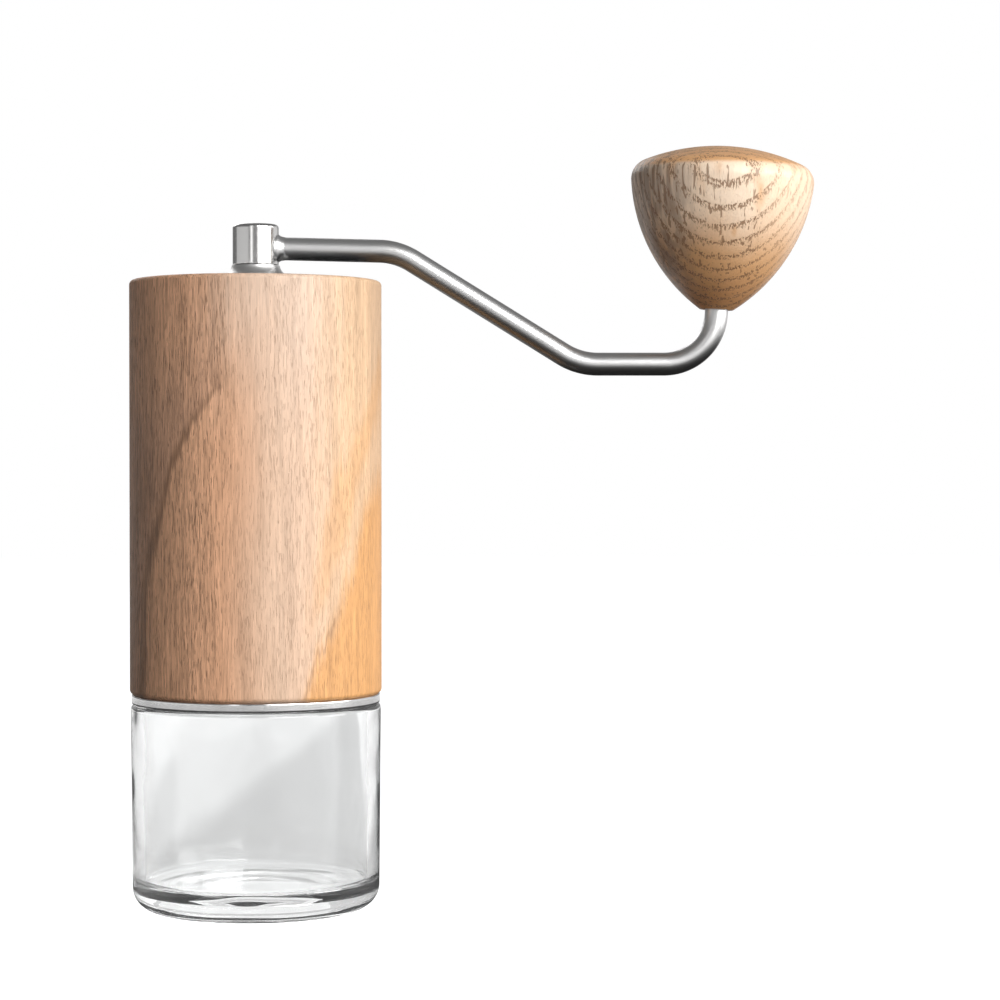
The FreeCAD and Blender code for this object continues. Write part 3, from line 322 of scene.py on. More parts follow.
def mix(factor, first, second, mode="MIX"):
    """Two colours mixed by a factor."""
    first, second = (value if isinstance(value, bpy.types.NodeSocket) else (*value[:3], 1.0)
                     for value in (first, second))
    tree, inputs = home(factor, first, second), {0: factor, 6: first, 7: second}
    return put(tree, "ShaderNodeMix", inputs, data_type="RGBA", blend_type=mode).outputs[2]


def noise(place, scale, stretch=(1, 1, 1), detail=2.0, roughness=0.5):
    """Noise of the given scale over a place, stretched along some axes."""
    shift = put(home(place), "ShaderNodeMapping", {"Vector": place, "Scale": stretch}).outputs[0]
    inputs = {"Vector": shift, "Scale": scale, "Detail": detail, "Roughness": roughness}
    return put(home(place), "ShaderNodeTexNoise", inputs).outputs["Fac"]


def millimetres(tree):
    """The place on the object in millimetres."""
    here = put(tree, "ShaderNodeTexCoord").outputs["Object"]
    inputs = {0: here, "Scale": 1 / MM}
    return put(tree, "ShaderNodeVectorMath", inputs, operation="SCALE").outputs[0]


def axes(place):
    """The three parts of a place."""
    return put(home(place), "ShaderNodeSeparateXYZ", {0: place}).outputs


def new_material(name):
    """A material with a principled shader, and its tree and shader."""
    material = bpy.data.materials.new(name)
    material.use_nodes = True
    return material, material.node_tree, material.node_tree.nodes["Principled BSDF"]


def set_shader(shader, **inputs):
    """Sockets or plain values on the shader's own inputs."""
    feed(shader, {key.replace("_", " "): value for key, value in inputs.items()})


def blend_surface(factor, first, second):
    """Makes the material's surface a mix of two shaders by a factor."""
    tree = home(factor)
    inputs = {0: factor, 1: first.outputs[0], 2: second.outputs[0]}
    both = put(tree, "ShaderNodeMixShader", inputs).outputs[0]
    feed(tree.nodes["Material Output"], {"Surface": both})


def grain_group():
    """Shared wood grain: streaks, pores and a height for bumps, from a place in millimetres."""
    group = bpy.data.node_groups.new("wood_grain", "ShaderNodeTree")
    for name, kind in (("Place", "NodeSocketVector"), ("Length", "NodeSocketFloat")):
        group.interface.new_socket(name, in_out="INPUT", socket_type=kind)
    for name in ("Streak", "Pore", "Height"):
        group.interface.new_socket(name, in_out="OUTPUT", socket_type="NodeSocketFloat")
    entry = put(group, "NodeGroupInput").outputs
    x, y, z = axes(entry["Place"])
    shrunk = times(z, calc("DIVIDE", 1.0, entry["Length"]))
    place = put(group, "ShaderNodeCombineXYZ", {0: x, 1: y, 2: shrunk}).outputs[0]
    broad = noise(place, 1.5, detail=3.0, roughness=0.6)
    fine = noise(place, 4.6, (1, 1, 0.6), detail=3.0, roughness=0.65)
    dash = noise(place, 6.0, (1, 1, 0.9), detail=1.0, roughness=0.4)
    patch = noise(place, 0.35, (1, 1, 0.8), detail=1.0)
    streak = plus(times(broad, 0.45), times(fine, 0.55))
    edge = plus(0.61, times(less(0.5, patch), 0.22))
    pore = ease(less(dash, edge), 0.0, 0.06)
    height = less(streak, times(pore, 0.8))
    put(group, "NodeGroupOutput", {"Streak": streak, "Pore": pore, "Height": height})


def use_group(group, **inputs):
    """The outputs of one use of a shared node group."""
    return put(home(*inputs.values()), "ShaderNodeGroup", inputs, node_tree=group).outputs


def bump(height, distance):
    """A bumped normal from a height, with the distance in metres."""
    inputs = {"Height": height, "Distance": distance, "Strength": 1.0}
    return put(home(height), "ShaderNodeBump", inputs).outputs[0]


def layered(colour, layers):
    """A colour with others laid over it in turn, each by its mask times its share."""
    for mask, share, tint in layers:
        colour = mix(times(mask, share), colour, tint)
    return colour


def toned(colour, tone):
    """A colour made lighter or darker by a tone."""
    shade = put(home(tone), "ShaderNodeCombineColor", {0: tone, 1: tone, 2: tone}).outputs[0]
    return mix(1.0, colour, shade, "MULTIPLY")


def body_wood(settings, grain):
    """Walnut with pale sapwood.

    A brown heart with a flame-shaped edge lies on the left, cream above and gold low on the right.
    Each is a mask that eases across a line in x and z, pushed to and fro by broad and ragged noise.
    """
    material, tree, shader = new_material("walnut_body")
    place = millimetres(tree)
    x, y, z = axes(place)
    parts = use_group(grain, Place=place, Length=settings.streak_length / MM)
    drift = less(noise(place, 0.06, (1, 1, 0.35), detail=3.0), 0.5)
    ragged = less(noise(place, 0.7, (1, 1, 0.06), detail=3.0, roughness=0.6), 0.5)

    def swayed(value, broad, narrow=0.0):
        """A value pushed to and fro by the broad and the ragged noise."""
        value = plus(value, times(drift, broad)) if broad else value
        return plus(value, times(ragged, narrow)) if narrow else value

    flame_foot, flame_height, flame_power = 40.0, 98.0, 3.6
    flame_left, flame_width, flame_right = -24.0, 32.0, -6.0
    rise = calc("DIVIDE", less(z, flame_foot), flame_height)
    flame = calc("POWER", calc("MAXIMUM", rise, 0.001), flame_power)
    flame = plus(times(flame, flame_width), flame_left)
    beside = swayed(less(x, calc("MINIMUM", flame, flame_right)), 6.0, 3.0)
    lower = ease(swayed(z, 30.0), 136.0, 112.0)
    heartwood_and_shade = times(ease(beside, 0.6, -0.8), spread(lower, 0.2, 1.0))
    rim = times(times(heartwood_and_shade, ease(beside, -2.6, -0.7)), lower)
    gold_left, gold_level, gold_lean = 14.2, 53.0, 0.32
    slant = plus(gold_left, times(less(z, gold_level), gold_lean))
    golden = swayed(less(x, slant), 12.0, 5.0)
    squiggle = ease(calc("ABSOLUTE", golden), 0.7, 0.1)
    squiggle = times(squiggle, ease(z, 82.0, 66.0))
    vein = ease(calc("ABSOLUTE", plus(golden, 7.0)), 4.0, 0.5)
    vein = times(vein, ease(x, 12.0, 20.0))
    golden = ease(golden, -2.5, 2.5)
    smudge_place, smudge_shrink = (-25.0, -17.0, 99.0), (0.33, 0.1, 0.1)
    smudge = vector("SUBTRACT", place, smudge_place)
    smudge = vector("LENGTH", vector("MULTIPLY", smudge, smudge_shrink))
    smudge = ease(swayed(smudge, 0.0, 1.2), 1.3, 0.1)
    warm = ease(swayed(x, 0.0, 8.0), 12.0, 25.0)
    sapwood = ease(swayed(x, 8.0), -7.0, 9.0)
    upper = ease(swayed(z, 40.0), 100.0, 150.0)
    upper = times(upper, ease(swayed(x, 0.0, 10.0), -15.0, 2.0))
    ring_way, ring_rate = (0.8, 0.6, 0.07), 1.3
    rings = plus(times(x, ring_way[0]), times(y, ring_way[1]))
    rings = swayed(plus(rings, times(z, ring_way[2])), 9.0)
    late = ease(calc("SINE", times(rings, ring_rate)), 0.3, 1.0)
    colour = mix(sapwood, settings.middle_colour, settings.pale_colour)
    colour = layered(colour, (
        (upper, 0.8, settings.cream_colour),
        (warm, 0.8, settings.warm_colour),
        (vein, 0.45, settings.gold_colour),
        (golden, 0.9, settings.gold_colour),
        (squiggle, 0.3, settings.line_colour),
        (heartwood_and_shade, 0.85, settings.heartwood_and_shade_colour),
        (rim, 0.7, settings.line_colour),
        (smudge, 0.35, settings.line_colour),
        (late, 0.08, settings.line_colour),
    ))
    # Partly painted shade: the streaks and pores darken the wood more on the left flank, where
    # light grazes, than on the lit right; the bump follows the same factor.
    depth = spread(ease(swayed(x, 0.0, 8.0), -13.0, 2.0), 2.0, 0.75)
    tone = times(less(parts["Streak"], 0.5), 2.0 * settings.streak_depth)
    tone = plus(1.0, times(tone, depth))
    bands = noise(place, 0.33, (1, 1, 0.03), detail=3.0, roughness=0.6)
    colour = toned(colour, times(tone, spread(bands, 0.76, 1.24)))
    pore = times(times(parts["Pore"], settings.pore_depth), depth)
    colour = mix(pore, colour, settings.line_colour)
    height = times(parts["Height"], depth)
    set_shader(shader, Base_Color=colour, Roughness=spread(parts["Streak"], 0.40, 0.58),
               Normal=bump(height, 0.00010), Specular_IOR_Level=0.35)
    return material


def knob_wood(settings, grain):
    """Oak, whose growth rings square to Y are cut by the turned side as nested arcs of dark dashes.

    Fine upright hairs and darker heartwood lie on the left flank, tan wood below and on the dome.
    """
    material, tree, shader = new_material("oak_knob")
    place = vector("SUBTRACT", millimetres(tree), KNOB_FOOT)
    x, y, z = axes(place)
    parts = use_group(grain, Place=place, Length=settings.streak_length / MM)
    drift = less(noise(place, 0.07, (1, 1, 0.4), detail=2.0), 0.5)
    ring_yaw, ring_lean, ring_start = 0.03, 0.3, 61.2
    depth = less(plus(y, times(x, ring_yaw)), times(z, ring_lean))
    depth = plus(plus(depth, drift), ring_start)
    ring = calc("FRACT", calc("DIVIDE", depth, settings.ring_spacing / MM))
    band = times(ease(ring, 0.0, 0.10), ease(ring, 0.6, 0.25))
    dash = noise(place, 3.0, (1, 1, 0.34), detail=2.0)
    dash = ease(plus(dash, times(band, 0.16)), 0.63, 0.71)
    flank = ease(x, -4.0, -12.5)
    fibre = noise(place, 1.1, (1, 1, 0.04), detail=1.0)
    hair = ease(plus(fibre, times(flank, 0.05)), 0.63, 0.68)
    fine = ease(noise(place, 2.4, (1, 1, 0.025), detail=1.0), 0.64, 0.70)
    hair = calc("MAXIMUM", hair, times(fine, ease(x, 3.0, -6.0)))
    soft = ease(noise(place, 0.2, (1, 1, 0.3), detail=2.0), 0.5, 0.85)
    # The pale band between the tan foot and the tan dome is partly paler oak, partly a painted
    # highlight.
    lower = ease(plus(z, times(drift, 12.0)), 26.0, 9.0)
    dome = ease(z, 32.6, 33.8)
    browned = calc("MAXIMUM", calc("MAXIMUM", lower, dome), soft)
    colour = mix(browned, settings.pale_colour, settings.tan_colour)
    colour = layered(colour, ((ease(z, 11.0, 1.0), 0.9, settings.foot_colour),))
    tone = spread(parts["Streak"], 1.0 - settings.streak_depth, 1.0 + settings.streak_depth)
    # Painted shade: this mask darkens the knob's left flank, away from the light, in a heartwood
    # colour.
    heartwood_and_shade = ease(noise(place, 0.6, (1, 1, 0.06), detail=2.0), 0.66, 0.42)
    heartwood_and_shade = times(times(flank, spread(heartwood_and_shade, 0.20, 0.72)), less(1.0, dome))
    marks = calc("MAXIMUM", times(dash, band), times(hair, 0.85))
    # Painted light: the dashes fade on the right flank, where the light falls.
    marks = times(marks, spread(ease(x, 5.0, 16.0), 1.0, 0.55))
    colour = layered(toned(colour, tone), (
        (band, 0.10, settings.tan_colour),
        (ease(x, 4.0, 14.0), 0.28, settings.tan_colour),
        (heartwood_and_shade, 1.0, settings.heartwood_and_shade_colour),
        (marks, settings.dash_depth, settings.line_colour),
    ))
    height = less(parts["Height"], marks)
    set_shader(shader, Base_Color=colour, Roughness=spread(parts["Streak"], 0.38, 0.55),
               Normal=bump(height, 0.00007), Specular_IOR_Level=0.4, Coat_Weight=0.3,
               Coat_Roughness=0.28)
    return material


def metal(name, colour, low, high, stretch=(1, 1, 1), scale=2.0, depth=0.00001, under=1.0):
    """Steel whose roughness and fine marks follow stretched noise; its underside can be darker."""
    material, tree, shader = new_material(name)
    place = millimetres(tree)
    marks = noise(place, scale, stretch, detail=4.0, roughness=0.6)
    cloud = noise(place, 0.12, detail=2.0)
    worn = plus(times(marks, 0.7), times(cloud, 0.3))
    dim = tuple(0.88 * part for part in colour)
    tint = mix(worn, dim, colour)
    if under < 1.0:
        # Painted shade: faces that look down, found by their normal, take a darker colour.
        facing = axes(put(tree, "ShaderNodeTexCoord").outputs["Normal"])[2]
        dark = tuple(under * part for part in colour)
        tint = mix(ease(facing, -0.7, 0.3), dark, tint)
    set_shader(shader, Base_Color=tint, Metallic=1.0, Roughness=spread(worn, low, high),
               Normal=bump(marks, depth))
    return material


def arm_steel(settings):
    """Satin steel of the rod and its weld, made once."""
    made = bpy.data.materials.get("arm_steel")
    # The last number darkens the rod's and the weld's underside as a painted shade.
    look = (settings.crank_colour, 0.30, 0.42, (1, 1, 3), 2.6, 0.00002, 0.22)
    return made or metal("arm_steel", *look)


def dull(name, colour, roughness):
    """Plastic or rubber with a fine moulded grain."""
    material, tree, shader = new_material(name)
    place = millimetres(tree)
    skin = noise(place, 3.0, detail=3.0)
    cloud = noise(place, 0.08, detail=2.0)
    light = tuple(min(1.0, 1.2 * part) for part in colour)
    set_shader(shader, Base_Color=mix(cloud, colour, light),
               Roughness=spread(skin, roughness - 0.08, roughness + 0.08),
               Normal=bump(skin, 0.00002))
    return material


def clear(name, tint, index, waves, depth):
    """Clear glass or plastic with faint waves.

    A small share of every ray, and all light from lamps, passes straight through.
    """
    material, tree, shader = new_material(name)
    ripple = noise(millimetres(tree), waves, detail=1.0)
    set_shader(shader, Base_Color=(*tint, 1.0), Roughness=0.0, IOR=index, Transmission_Weight=1.0,
               Normal=bump(ripple, depth))
    thin = (*[0.5 + 0.5 * part for part in tint], 1.0)
    through = put(tree, "ShaderNodeBsdfTransparent", {0: thin})
    ray = put(tree, "ShaderNodeLightPath").outputs["Is Shadow Ray"]
    blend_surface(calc("MAXIMUM", ray, 0.05), shader, through)
    return material


# Settings

class GrinderWood(bpy.types.PropertyGroup):
    """Colours and grain of the wooden body."""
    pale_colour: FloatVectorProperty(
        name="Pale", description="Pale sapwood", default=(0.66, 0.45, 0.315), subtype="COLOR")
    cream_colour: FloatVectorProperty(
        name="Cream", description="Cream top of the sapwood", default=(0.68, 0.50, 0.38),
        subtype="COLOR")
    middle_colour: FloatVectorProperty(
        name="Middle", description="Pinkish brown middle", default=(0.71, 0.39, 0.23),
        subtype="COLOR")
    warm_colour: FloatVectorProperty(
        name="Warm", description="Warm right side", default=(0.66, 0.43, 0.25), subtype="COLOR")
    gold_colour: FloatVectorProperty(
        name="Gold", description="Golden part low on the right", default=(0.64, 0.32, 0.115),
        subtype="COLOR")
    heartwood_and_shade_colour: FloatVectorProperty(
        name="Heart", description="Brown heartwood", default=(0.53, 0.30, 0.19), subtype="COLOR")
    line_colour: FloatVectorProperty(
        name="Line", description="Pores and late wood", default=(0.24, 0.125, 0.065),
        subtype="COLOR")
    streak_length: FloatProperty(
        name="Streak length", description="Length of a streak in the grain", default=0.016,
        min=0.001, unit="LENGTH")
    streak_depth: FloatProperty(
        name="Streak depth", description="How much the streaks darken the wood", default=0.72,
        min=0.0, max=1.0, subtype="FACTOR")
    pore_depth: FloatProperty(
        name="Pore depth", description="How dark the pores are", default=0.42, min=0.0, max=1.0,
        subtype="FACTOR")


class GrinderKnob(bpy.types.PropertyGroup):
    """Colours and grain of the knob."""
    # Pale is partly the oak's colour, partly a painted highlight on the knob's side and shoulder.
    pale_colour: FloatVectorProperty(
        name="Pale", description="Pale oak", default=(0.88, 0.69, 0.52), subtype="COLOR")
    tan_colour: FloatVectorProperty(
        name="Tan", description="Tan oak", default=(0.66, 0.365, 0.17), subtype="COLOR")
    foot_colour: FloatVectorProperty(
        name="Foot", description="Brown oak at the knob's foot", default=(0.56, 0.27, 0.11),
        subtype="COLOR")
    line_colour: FloatVectorProperty(
        name="Line", description="Dashes of the pores", default=(0.22, 0.115, 0.055),
        subtype="COLOR")
    # The knob's dark left flank in this colour is a painted shade.
    heartwood_and_shade_colour: FloatVectorProperty(
        name="Heart", description="Dark heartwood on one flank", default=(0.25, 0.175, 0.13),
        subtype="COLOR")
    ring_spacing: FloatProperty(
        name="Ring spacing", description="Distance between growth rings", default=0.0028,
        min=0.0005, unit="LENGTH")
    streak_length: FloatProperty(
        name="Streak length", description="Length of a streak in the grain", default=0.009,
        min=0.001, unit="LENGTH")
    streak_depth: FloatProperty(
        name="Streak depth", description="How much the streaks darken the wood", default=0.2,
        min=0.0, max=1.0, subtype="FACTOR")
    dash_depth: FloatProperty(
        name="Dash depth", description="How dark the pore dashes are", default=0.85, min=0.0,
        max=1.0, subtype="FACTOR")


class GrinderGlass(bpy.types.PropertyGroup):
    """The glass jar."""
    columns: IntProperty(
        name="Columns", description="Points round the jar", default=192, min=24, max=512)
    tint: FloatVectorProperty(
        name="Tint", description="Colour of the glass", default=(0.97, 0.975, 0.975),
        subtype="COLOR")
    thread_height: FloatProperty(
        name="Thread height", description="Height of the screw thread on the neck", default=0.00035,
        min=0.0, max=0.00045, unit="LENGTH")
    thread_pitch: FloatProperty(
        name="Thread pitch", description="Rise of the thread in one turn", default=0.004, min=0.001,
        unit="LENGTH")


class GrinderSteel(bpy.types.PropertyGroup):
    """The steel pieces."""
    crank_colour: FloatVectorProperty(
        name="Crank", description="Satin steel of the crank", default=(0.78, 0.775, 0.77),
        subtype="COLOR")
    hub_colour: FloatVectorProperty(
        name="Hub", description="Turned steel of the hub", default=(0.82, 0.81, 0.80),
        subtype="COLOR")
    collar_colour: FloatVectorProperty(
        name="Collar", description="Polished steel of the collar", default=(0.86, 0.855, 0.85),
        subtype="COLOR")
    weld_reach: FloatProperty(
        name="Weld reach", description="How far the weld runs out along the arm", default=0.0015,
        min=0.0005, unit="LENGTH")


class GrinderStage(bpy.types.PropertyGroup):
    """Light, floor and camera."""
    key_power: FloatProperty(
        name="Key", description="Power of the large lamp on the right", default=35.0, min=0.0,
        unit="POWER")
    strip_power: FloatProperty(
        name="Strip", description="Power of the narrow lamp on the left", default=1.0, min=0.0,
        unit="POWER")
    left_power: FloatProperty(
        name="Left", description="Power of the dim lamp on the left", default=0.85, min=0.0,
        unit="POWER")
    back_power: FloatProperty(
        name="Back", description="Power of the lamp behind", default=4.0, min=0.0, unit="POWER")
    edge_power: FloatProperty(
        name="Edge", description="Power of the dim lamp behind on the right", default=1.1, min=0.0,
        unit="POWER")
    side_power: FloatProperty(
        name="Side", description="Power of the lamp far on the right", default=10.0, min=0.0,
        unit="POWER")
    surround: FloatProperty(
        name="Surround", description="Brightness of the grey room", default=0.1, min=0.0)
    lens: FloatProperty(
        name="Lens", description="Focal length", default=97.63, min=10.0, unit="CAMERA")


# Pieces

class GRINDER_OT_body(bpy.types.Operator):
    """Makes the turned wooden body"""
    bl_idname = "grinder.body"
    bl_label = "Wooden Body"

    def execute(self, context):
        collar_hole, lid_hole, bore = 27.05, 27.1, 26.05
        corners = [(collar_hole, BODY_BOTTOM), (BODY_RADIUS, BODY_BOTTOM), (BODY_RADIUS, BODY_TOP),
                   (lid_hole, BODY_TOP), (lid_hole, LID_SEAT), (bore, LID_SEAT), (bore, COLLAR_TOP),
                   (collar_hole, COLLAR_TOP)]
        profile = rounded_path(corners, [0.15, 1.1, 1.1, 0.3, 0.1, 0.1, 0.1, 0.1])
        piece = surface("wood_body", turned(profile, 224), wrap=True)
        material = body_wood(context.scene.grinder_wood, bpy.data.node_groups["wood_grain"])
        settle(piece, material, "body", "walnut_wood", "wooden_sleeve")
        return {"FINISHED"}


class GRINDER_OT_jar(bpy.types.Operator):
    """Makes the glass jar with its screw neck"""
    bl_idname = "grinder.jar"
    bl_label = "Glass Jar"

    def execute(self, context):
        glass = context.scene.grinder_glass
        foot, shoulder, neck, mouth, inner_foot, inner_top = 29.4, 29.8, 24.8, 22.0, 26.4, 26.8
        floor, ledge_low, ledge_high, rim = 6.7, 48.0, 48.2, 57.3
        thread_low, thread_high, run_out = 49.8, 56.2, 1.5
        corners = [(HOLLOW_RADIUS, 0.0), (foot, 0.0), (shoulder, JAR_HEIGHT), (neck, JAR_HEIGHT),
                   (neck, rim), (mouth, rim), (mouth, ledge_high), (inner_top, ledge_low),
                   (inner_foot, floor), (0, floor)]
        radii = [0, 5.4, 0.9, 0.6, 0.8, 0.8, 0.3, 0.5, 1.6, 0]
        profile = rounded_path(corners, radii, closed=False, steps=14)
        across = np.linspace(0.0, HOLLOW_RADIUS, 20)[:-1]
        hollow = np.stack([across, HOLLOW_DEPTH * (1.0 - (across / HOLLOW_RADIUS) ** 2)], axis=1)
        profile = finer(np.vstack([hollow, profile]), 0.8)
        reach, level = profile.T
        threaded = (reach > neck - 0.05) & (level > thread_low - 0.2) & (level < thread_high + 0.2)
        first, last = np.flatnonzero(threaded)[[0, -1]]
        levels = np.linspace(level[first], level[last], 40)
        dense = np.stack([np.full_like(levels, neck), levels], axis=1)
        profile = np.vstack([profile[:first], dense, profile[last + 1:]])
        pitch = glass.thread_pitch / MM

        def thread(angle, level):
            """A ridge whose crest climbs by the pitch in a turn and fades out at both ends."""
            crest = np.maximum(0, np.cos(2 * math.pi * level / pitch - angle)) ** 3
            fade = np.clip((level - thread_low) / run_out, 0, 1)
            fade = fade * np.clip((thread_high - level) / run_out, 0, 1)
            outside = profile[:, :1] > neck - 0.1
            return glass.thread_height / MM * crest * fade * outside

        piece = surface("jar_glass", turned(profile, glass.columns, thread))
        material = clear("jar_glass", glass.tint, 1.5, 0.05, 0.0006)
        settle(piece, material, "jar", "clear_glass", "glass_jar")
        return {"FINISHED"}


class GRINDER_OT_collar(bpy.types.Operator):
    """Makes the steel collar between wood and glass"""
    bl_idname = "grinder.collar"
    bl_label = "Steel Collar"

    def execute(self, context):
        bore, flange, sleeve, lip, lip_bottom = 25.3, 29.6, 27.0, 22.4, 59.4
        corners = [(bore, COLLAR_BOTTOM), (flange, COLLAR_BOTTOM), (flange, BODY_BOTTOM),
                   (sleeve, BODY_BOTTOM), (sleeve, COLLAR_TOP), (lip, COLLAR_TOP),
                   (lip, lip_bottom), (bore, lip_bottom)]
        profile = rounded_path(corners, [0.2, 0.55, 0.45, 0.1, 0.2, 0.3, 0.2, 0.1], hold=0.08)
        piece = surface("collar_band", turned(profile, 192), wrap=True)
        steel = context.scene.grinder_steel
        material = metal("collar_steel", steel.collar_colour, 0.10, 0.22, (1, 1, 8), 1.4, 0.000006)
        settle(piece, material, "body", "collar_steel", "jar_collar")
        return {"FINISHED"}


class GRINDER_OT_lid(bpy.types.Operator):
    """Makes the clear lid under the hub, with its bright middle"""
    bl_idname = "grinder.lid"
    bl_label = "Clear Lid"

    def execute(self, context):
        middle, skirt, edge, bore, dome_radius = 7.6, 23.4, 26.8, 4.75, 160.0
        upper = arc((edge, 1.2), (middle, 2.75), dome_radius, 1, 24)
        lower = arc((middle, 1.4), (skirt, -0.2), dome_radius, -1, 24)
        flare = arc((middle, 2.75), (5.7, 5.1), 3.2, -1, 8)
        profile = np.vstack([
            [(24.7, -2.9), (24.7, 0.05), (26.6, 0.05), (edge, 0.25)], upper, flare[1:],
            [(bore, 5.1), (bore, 3.1), (6.6, 3.1)], lower,
            [(skirt, -2.9), (23.6, -3.0), (24.5, -3.0)],
        ])
        piece = surface("lid_dome", turned(profile + (0, LID_SEAT), 160), wrap=True)
        material = clear("lid_plastic", (0.94, 0.95, 0.96), 1.49, 0.04, 0.0002)
        settle(piece, material, "lid", "clear_plastic", "lid")
        ferrule = metal("lid_ferrule", (0.82, 0.81, 0.80), 0.30, 0.46, (1, 1, 6), 1.2)
        piece.data.materials.append(ferrule)
        faces = piece.data.polygons
        places = np.empty(len(faces) * 3, dtype=np.float32)
        faces.foreach_get("center", places)
        x, y, z = places.reshape(-1, 3).T / MM
        bright = (np.hypot(x, y) < middle) & (z > LID_SEAT + 2.7)
        faces.foreach_set("material_index", bright.astype(np.int32))
        return {"FINISHED"}


def hexagon_reach(angle, width):
    """Distance from the middle to a hexagon's side.

    It is half the width over the cosine of the angle to the side's middle.
    """
    return width / 2 / np.cos(np.mod(angle, math.pi / 3) - math.pi / 6)


class GRINDER_OT_hub(bpy.types.Operator):
    """Makes the hub with its hexagon socket, and the weld that joins the arm"""
    bl_idname = "grinder.hub"
    bl_label = "Crank Hub"

    def execute(self, context):
        steel = context.scene.grinder_steel
        columns, socket_width, socket_top = 144, 6.1, 161.0
        neck, groove, foot, top = 4.65, 4.2, 149.3, HUB_BOTTOM + 9.7
        groove_low, groove_high = 150.3, 151.2
        corners = [(0, top), (HUB_RADIUS, top), (HUB_RADIUS, HUB_BOTTOM), (neck, HUB_BOTTOM),
                   (neck, groove_high), (groove, groove_high), (groove, groove_low),
                   (neck, groove_low), (neck, foot), (3.8, foot)]
        outside = rounded_path(corners, [0, 0.9, 0.25, 0.1, 0, 0, 0, 0, 0.2, 0], closed=False)
        angle = round_angles(columns)
        side = hexagon_reach(angle, socket_width)
        flat = np.stack([side * np.cos(angle), side * np.sin(angle)], axis=1)
        rings = ((foot, 1.0), (socket_top - 0.1, 1.0), (socket_top, 0.0))
        socket = np.stack([np.column_stack([flat * share, np.full(columns, level)])
                           for level, share in rings])
        piece = surface("hub_head", np.concatenate([turned(outside, columns), socket]))
        material = metal("hub_steel", steel.hub_colour, 0.13, 0.25, (1, 1, 6), 1.2)
        settle(piece, material, "crank", "crank_steel", "crank_hub")
        root, reach = 4.6, HUB_RADIUS + steel.weld_reach / MM
        path = np.array([(root, 3.7), (5.3, 3.55), (5.6, 3.25), (5.9, 3.03), (6.3, 2.88),
                         (reach, 2.78), (reach, ROD_RADIUS), (root, ROD_RADIUS)])
        bead = turned(path[:, ::-1], 64)
        bead = np.stack([bead[..., 2], bead[..., 1], bead[..., 0]], axis=-1)
        weld = surface("hub_weld", tilted(bead, (0.0, 0.0, ARM_LEVEL), ARM_DROOP), wrap=True)
        settle(weld, arm_steel(steel), "crank", "crank_steel")
        return {"FINISHED"}


class GRINDER_OT_arm(bpy.types.Operator):
    """Makes the bent steel rod from the hub to the knob's pin"""
    bl_idname = "grinder.arm"
    bl_label = "Crank Arm"

    def execute(self, context):
        droop, slope = math.tan(ARM_DROOP), math.tan(math.radians(31.8))
        root, bend, drop, pin = 4.1, 33.85, 27.7, 27.0
        reach, knob_drop = KNOB_FOOT[0], ARM_LEVEL - KNOB_FOOT[2]
        corners = [(root, -root * droop), (bend, -bend * droop),
                   (bend + (drop - bend * droop) / slope, -drop),
                   (reach - (drop - knob_drop) * math.tan(KNOB_TILT), -drop),
                   (reach + pin * math.sin(KNOB_TILT), pin * math.cos(KNOB_TILT) - knob_drop)]
        path = rounded_path(corners, [0, 16.0, 16.0, 12.5, 0], closed=False, steps=28)
        path = finer(path, 1.2) + (0, ARM_LEVEL)
        end, groove = distances(path)[-1], 2.25
        low, high = end - pin + 22.46, end - pin + 23.34
        stops = [0.0, 0.02, 0.3, low, low + 0.01, high - 0.01, high, end - 0.4, end - 0.02, end]
        sizes = [0.0, 2.5, ROD_RADIUS, ROD_RADIUS, groove, groove, ROD_RADIUS, ROD_RADIUS, 2.4, 0.0]
        path, places = with_points(path, stops)
        piece = surface("arm_rod", swept(path, np.interp(places, stops, sizes), 48))
        settle(piece, arm_steel(context.scene.grinder_steel), "crank", "crank_steel", "crank_arm")
        return {"FINISHED"}


def knob_profile():
    """The knob's outline: a bulging side and a flat dome, joined by a rounded shoulder.

    The shoulder's centre is where circles of the side's and the dome's radius, each less the
    shoulder's, cross.
    """
    side_radius, shoulder = 41.2, 4.5
    foot, top, height, level = 4.0, 21.95, 38.8, 33.4
    dome_radius = (top ** 2 + (height - level) ** 2) / (2 * (height - level))
    side_centre = arc_centre((foot, 0.0), (top, level), side_radius, 1)
    dome_centre = np.array([0, height - dome_radius])
    first, second = side_radius - shoulder, dome_radius - shoulder
    between = dome_centre - side_centre
    apart = np.linalg.norm(between)
    along = (first ** 2 - second ** 2 + apart ** 2) / (2 * apart)
    across = math.sqrt(first ** 2 - along ** 2)
    way = between / apart
    centre = side_centre + way * along + np.array([-way[1], way[0]]) * across
    low = side_centre + (centre - side_centre) * side_radius / first
    high = dome_centre + (centre - dome_centre) * dome_radius / second
    side = arc((foot, 0.0), low, side_radius, 1, 40)
    turn = arc(low, high, shoulder, 1, 14)
    dome = arc(high, (0.0, height), dome_radius, 1, 20)
    bore, depth = 3.45, 28.2
    hole = [(0.0, depth), (bore, depth), (bore, 0.25), (bore + 0.25, 0.0), (bore + 0.45, 0.0)]
    return np.vstack([side, turn[1:], dome[1:], hole])


class GRINDER_OT_knob(bpy.types.Operator):
    """Makes the turned knob on its pin"""
    bl_idname = "grinder.knob"
    bl_label = "Knob"

    def execute(self, context):
        points = tilted(turned(knob_profile(), 192), KNOB_FOOT, KNOB_TILT)
        piece = surface("knob_turned", points, wrap=True)
        material = knob_wood(context.scene.grinder_knob, bpy.data.node_groups["wood_grain"])
        settle(piece, material, "knob", "oak_wood", "knob")
        return {"FINISHED"}


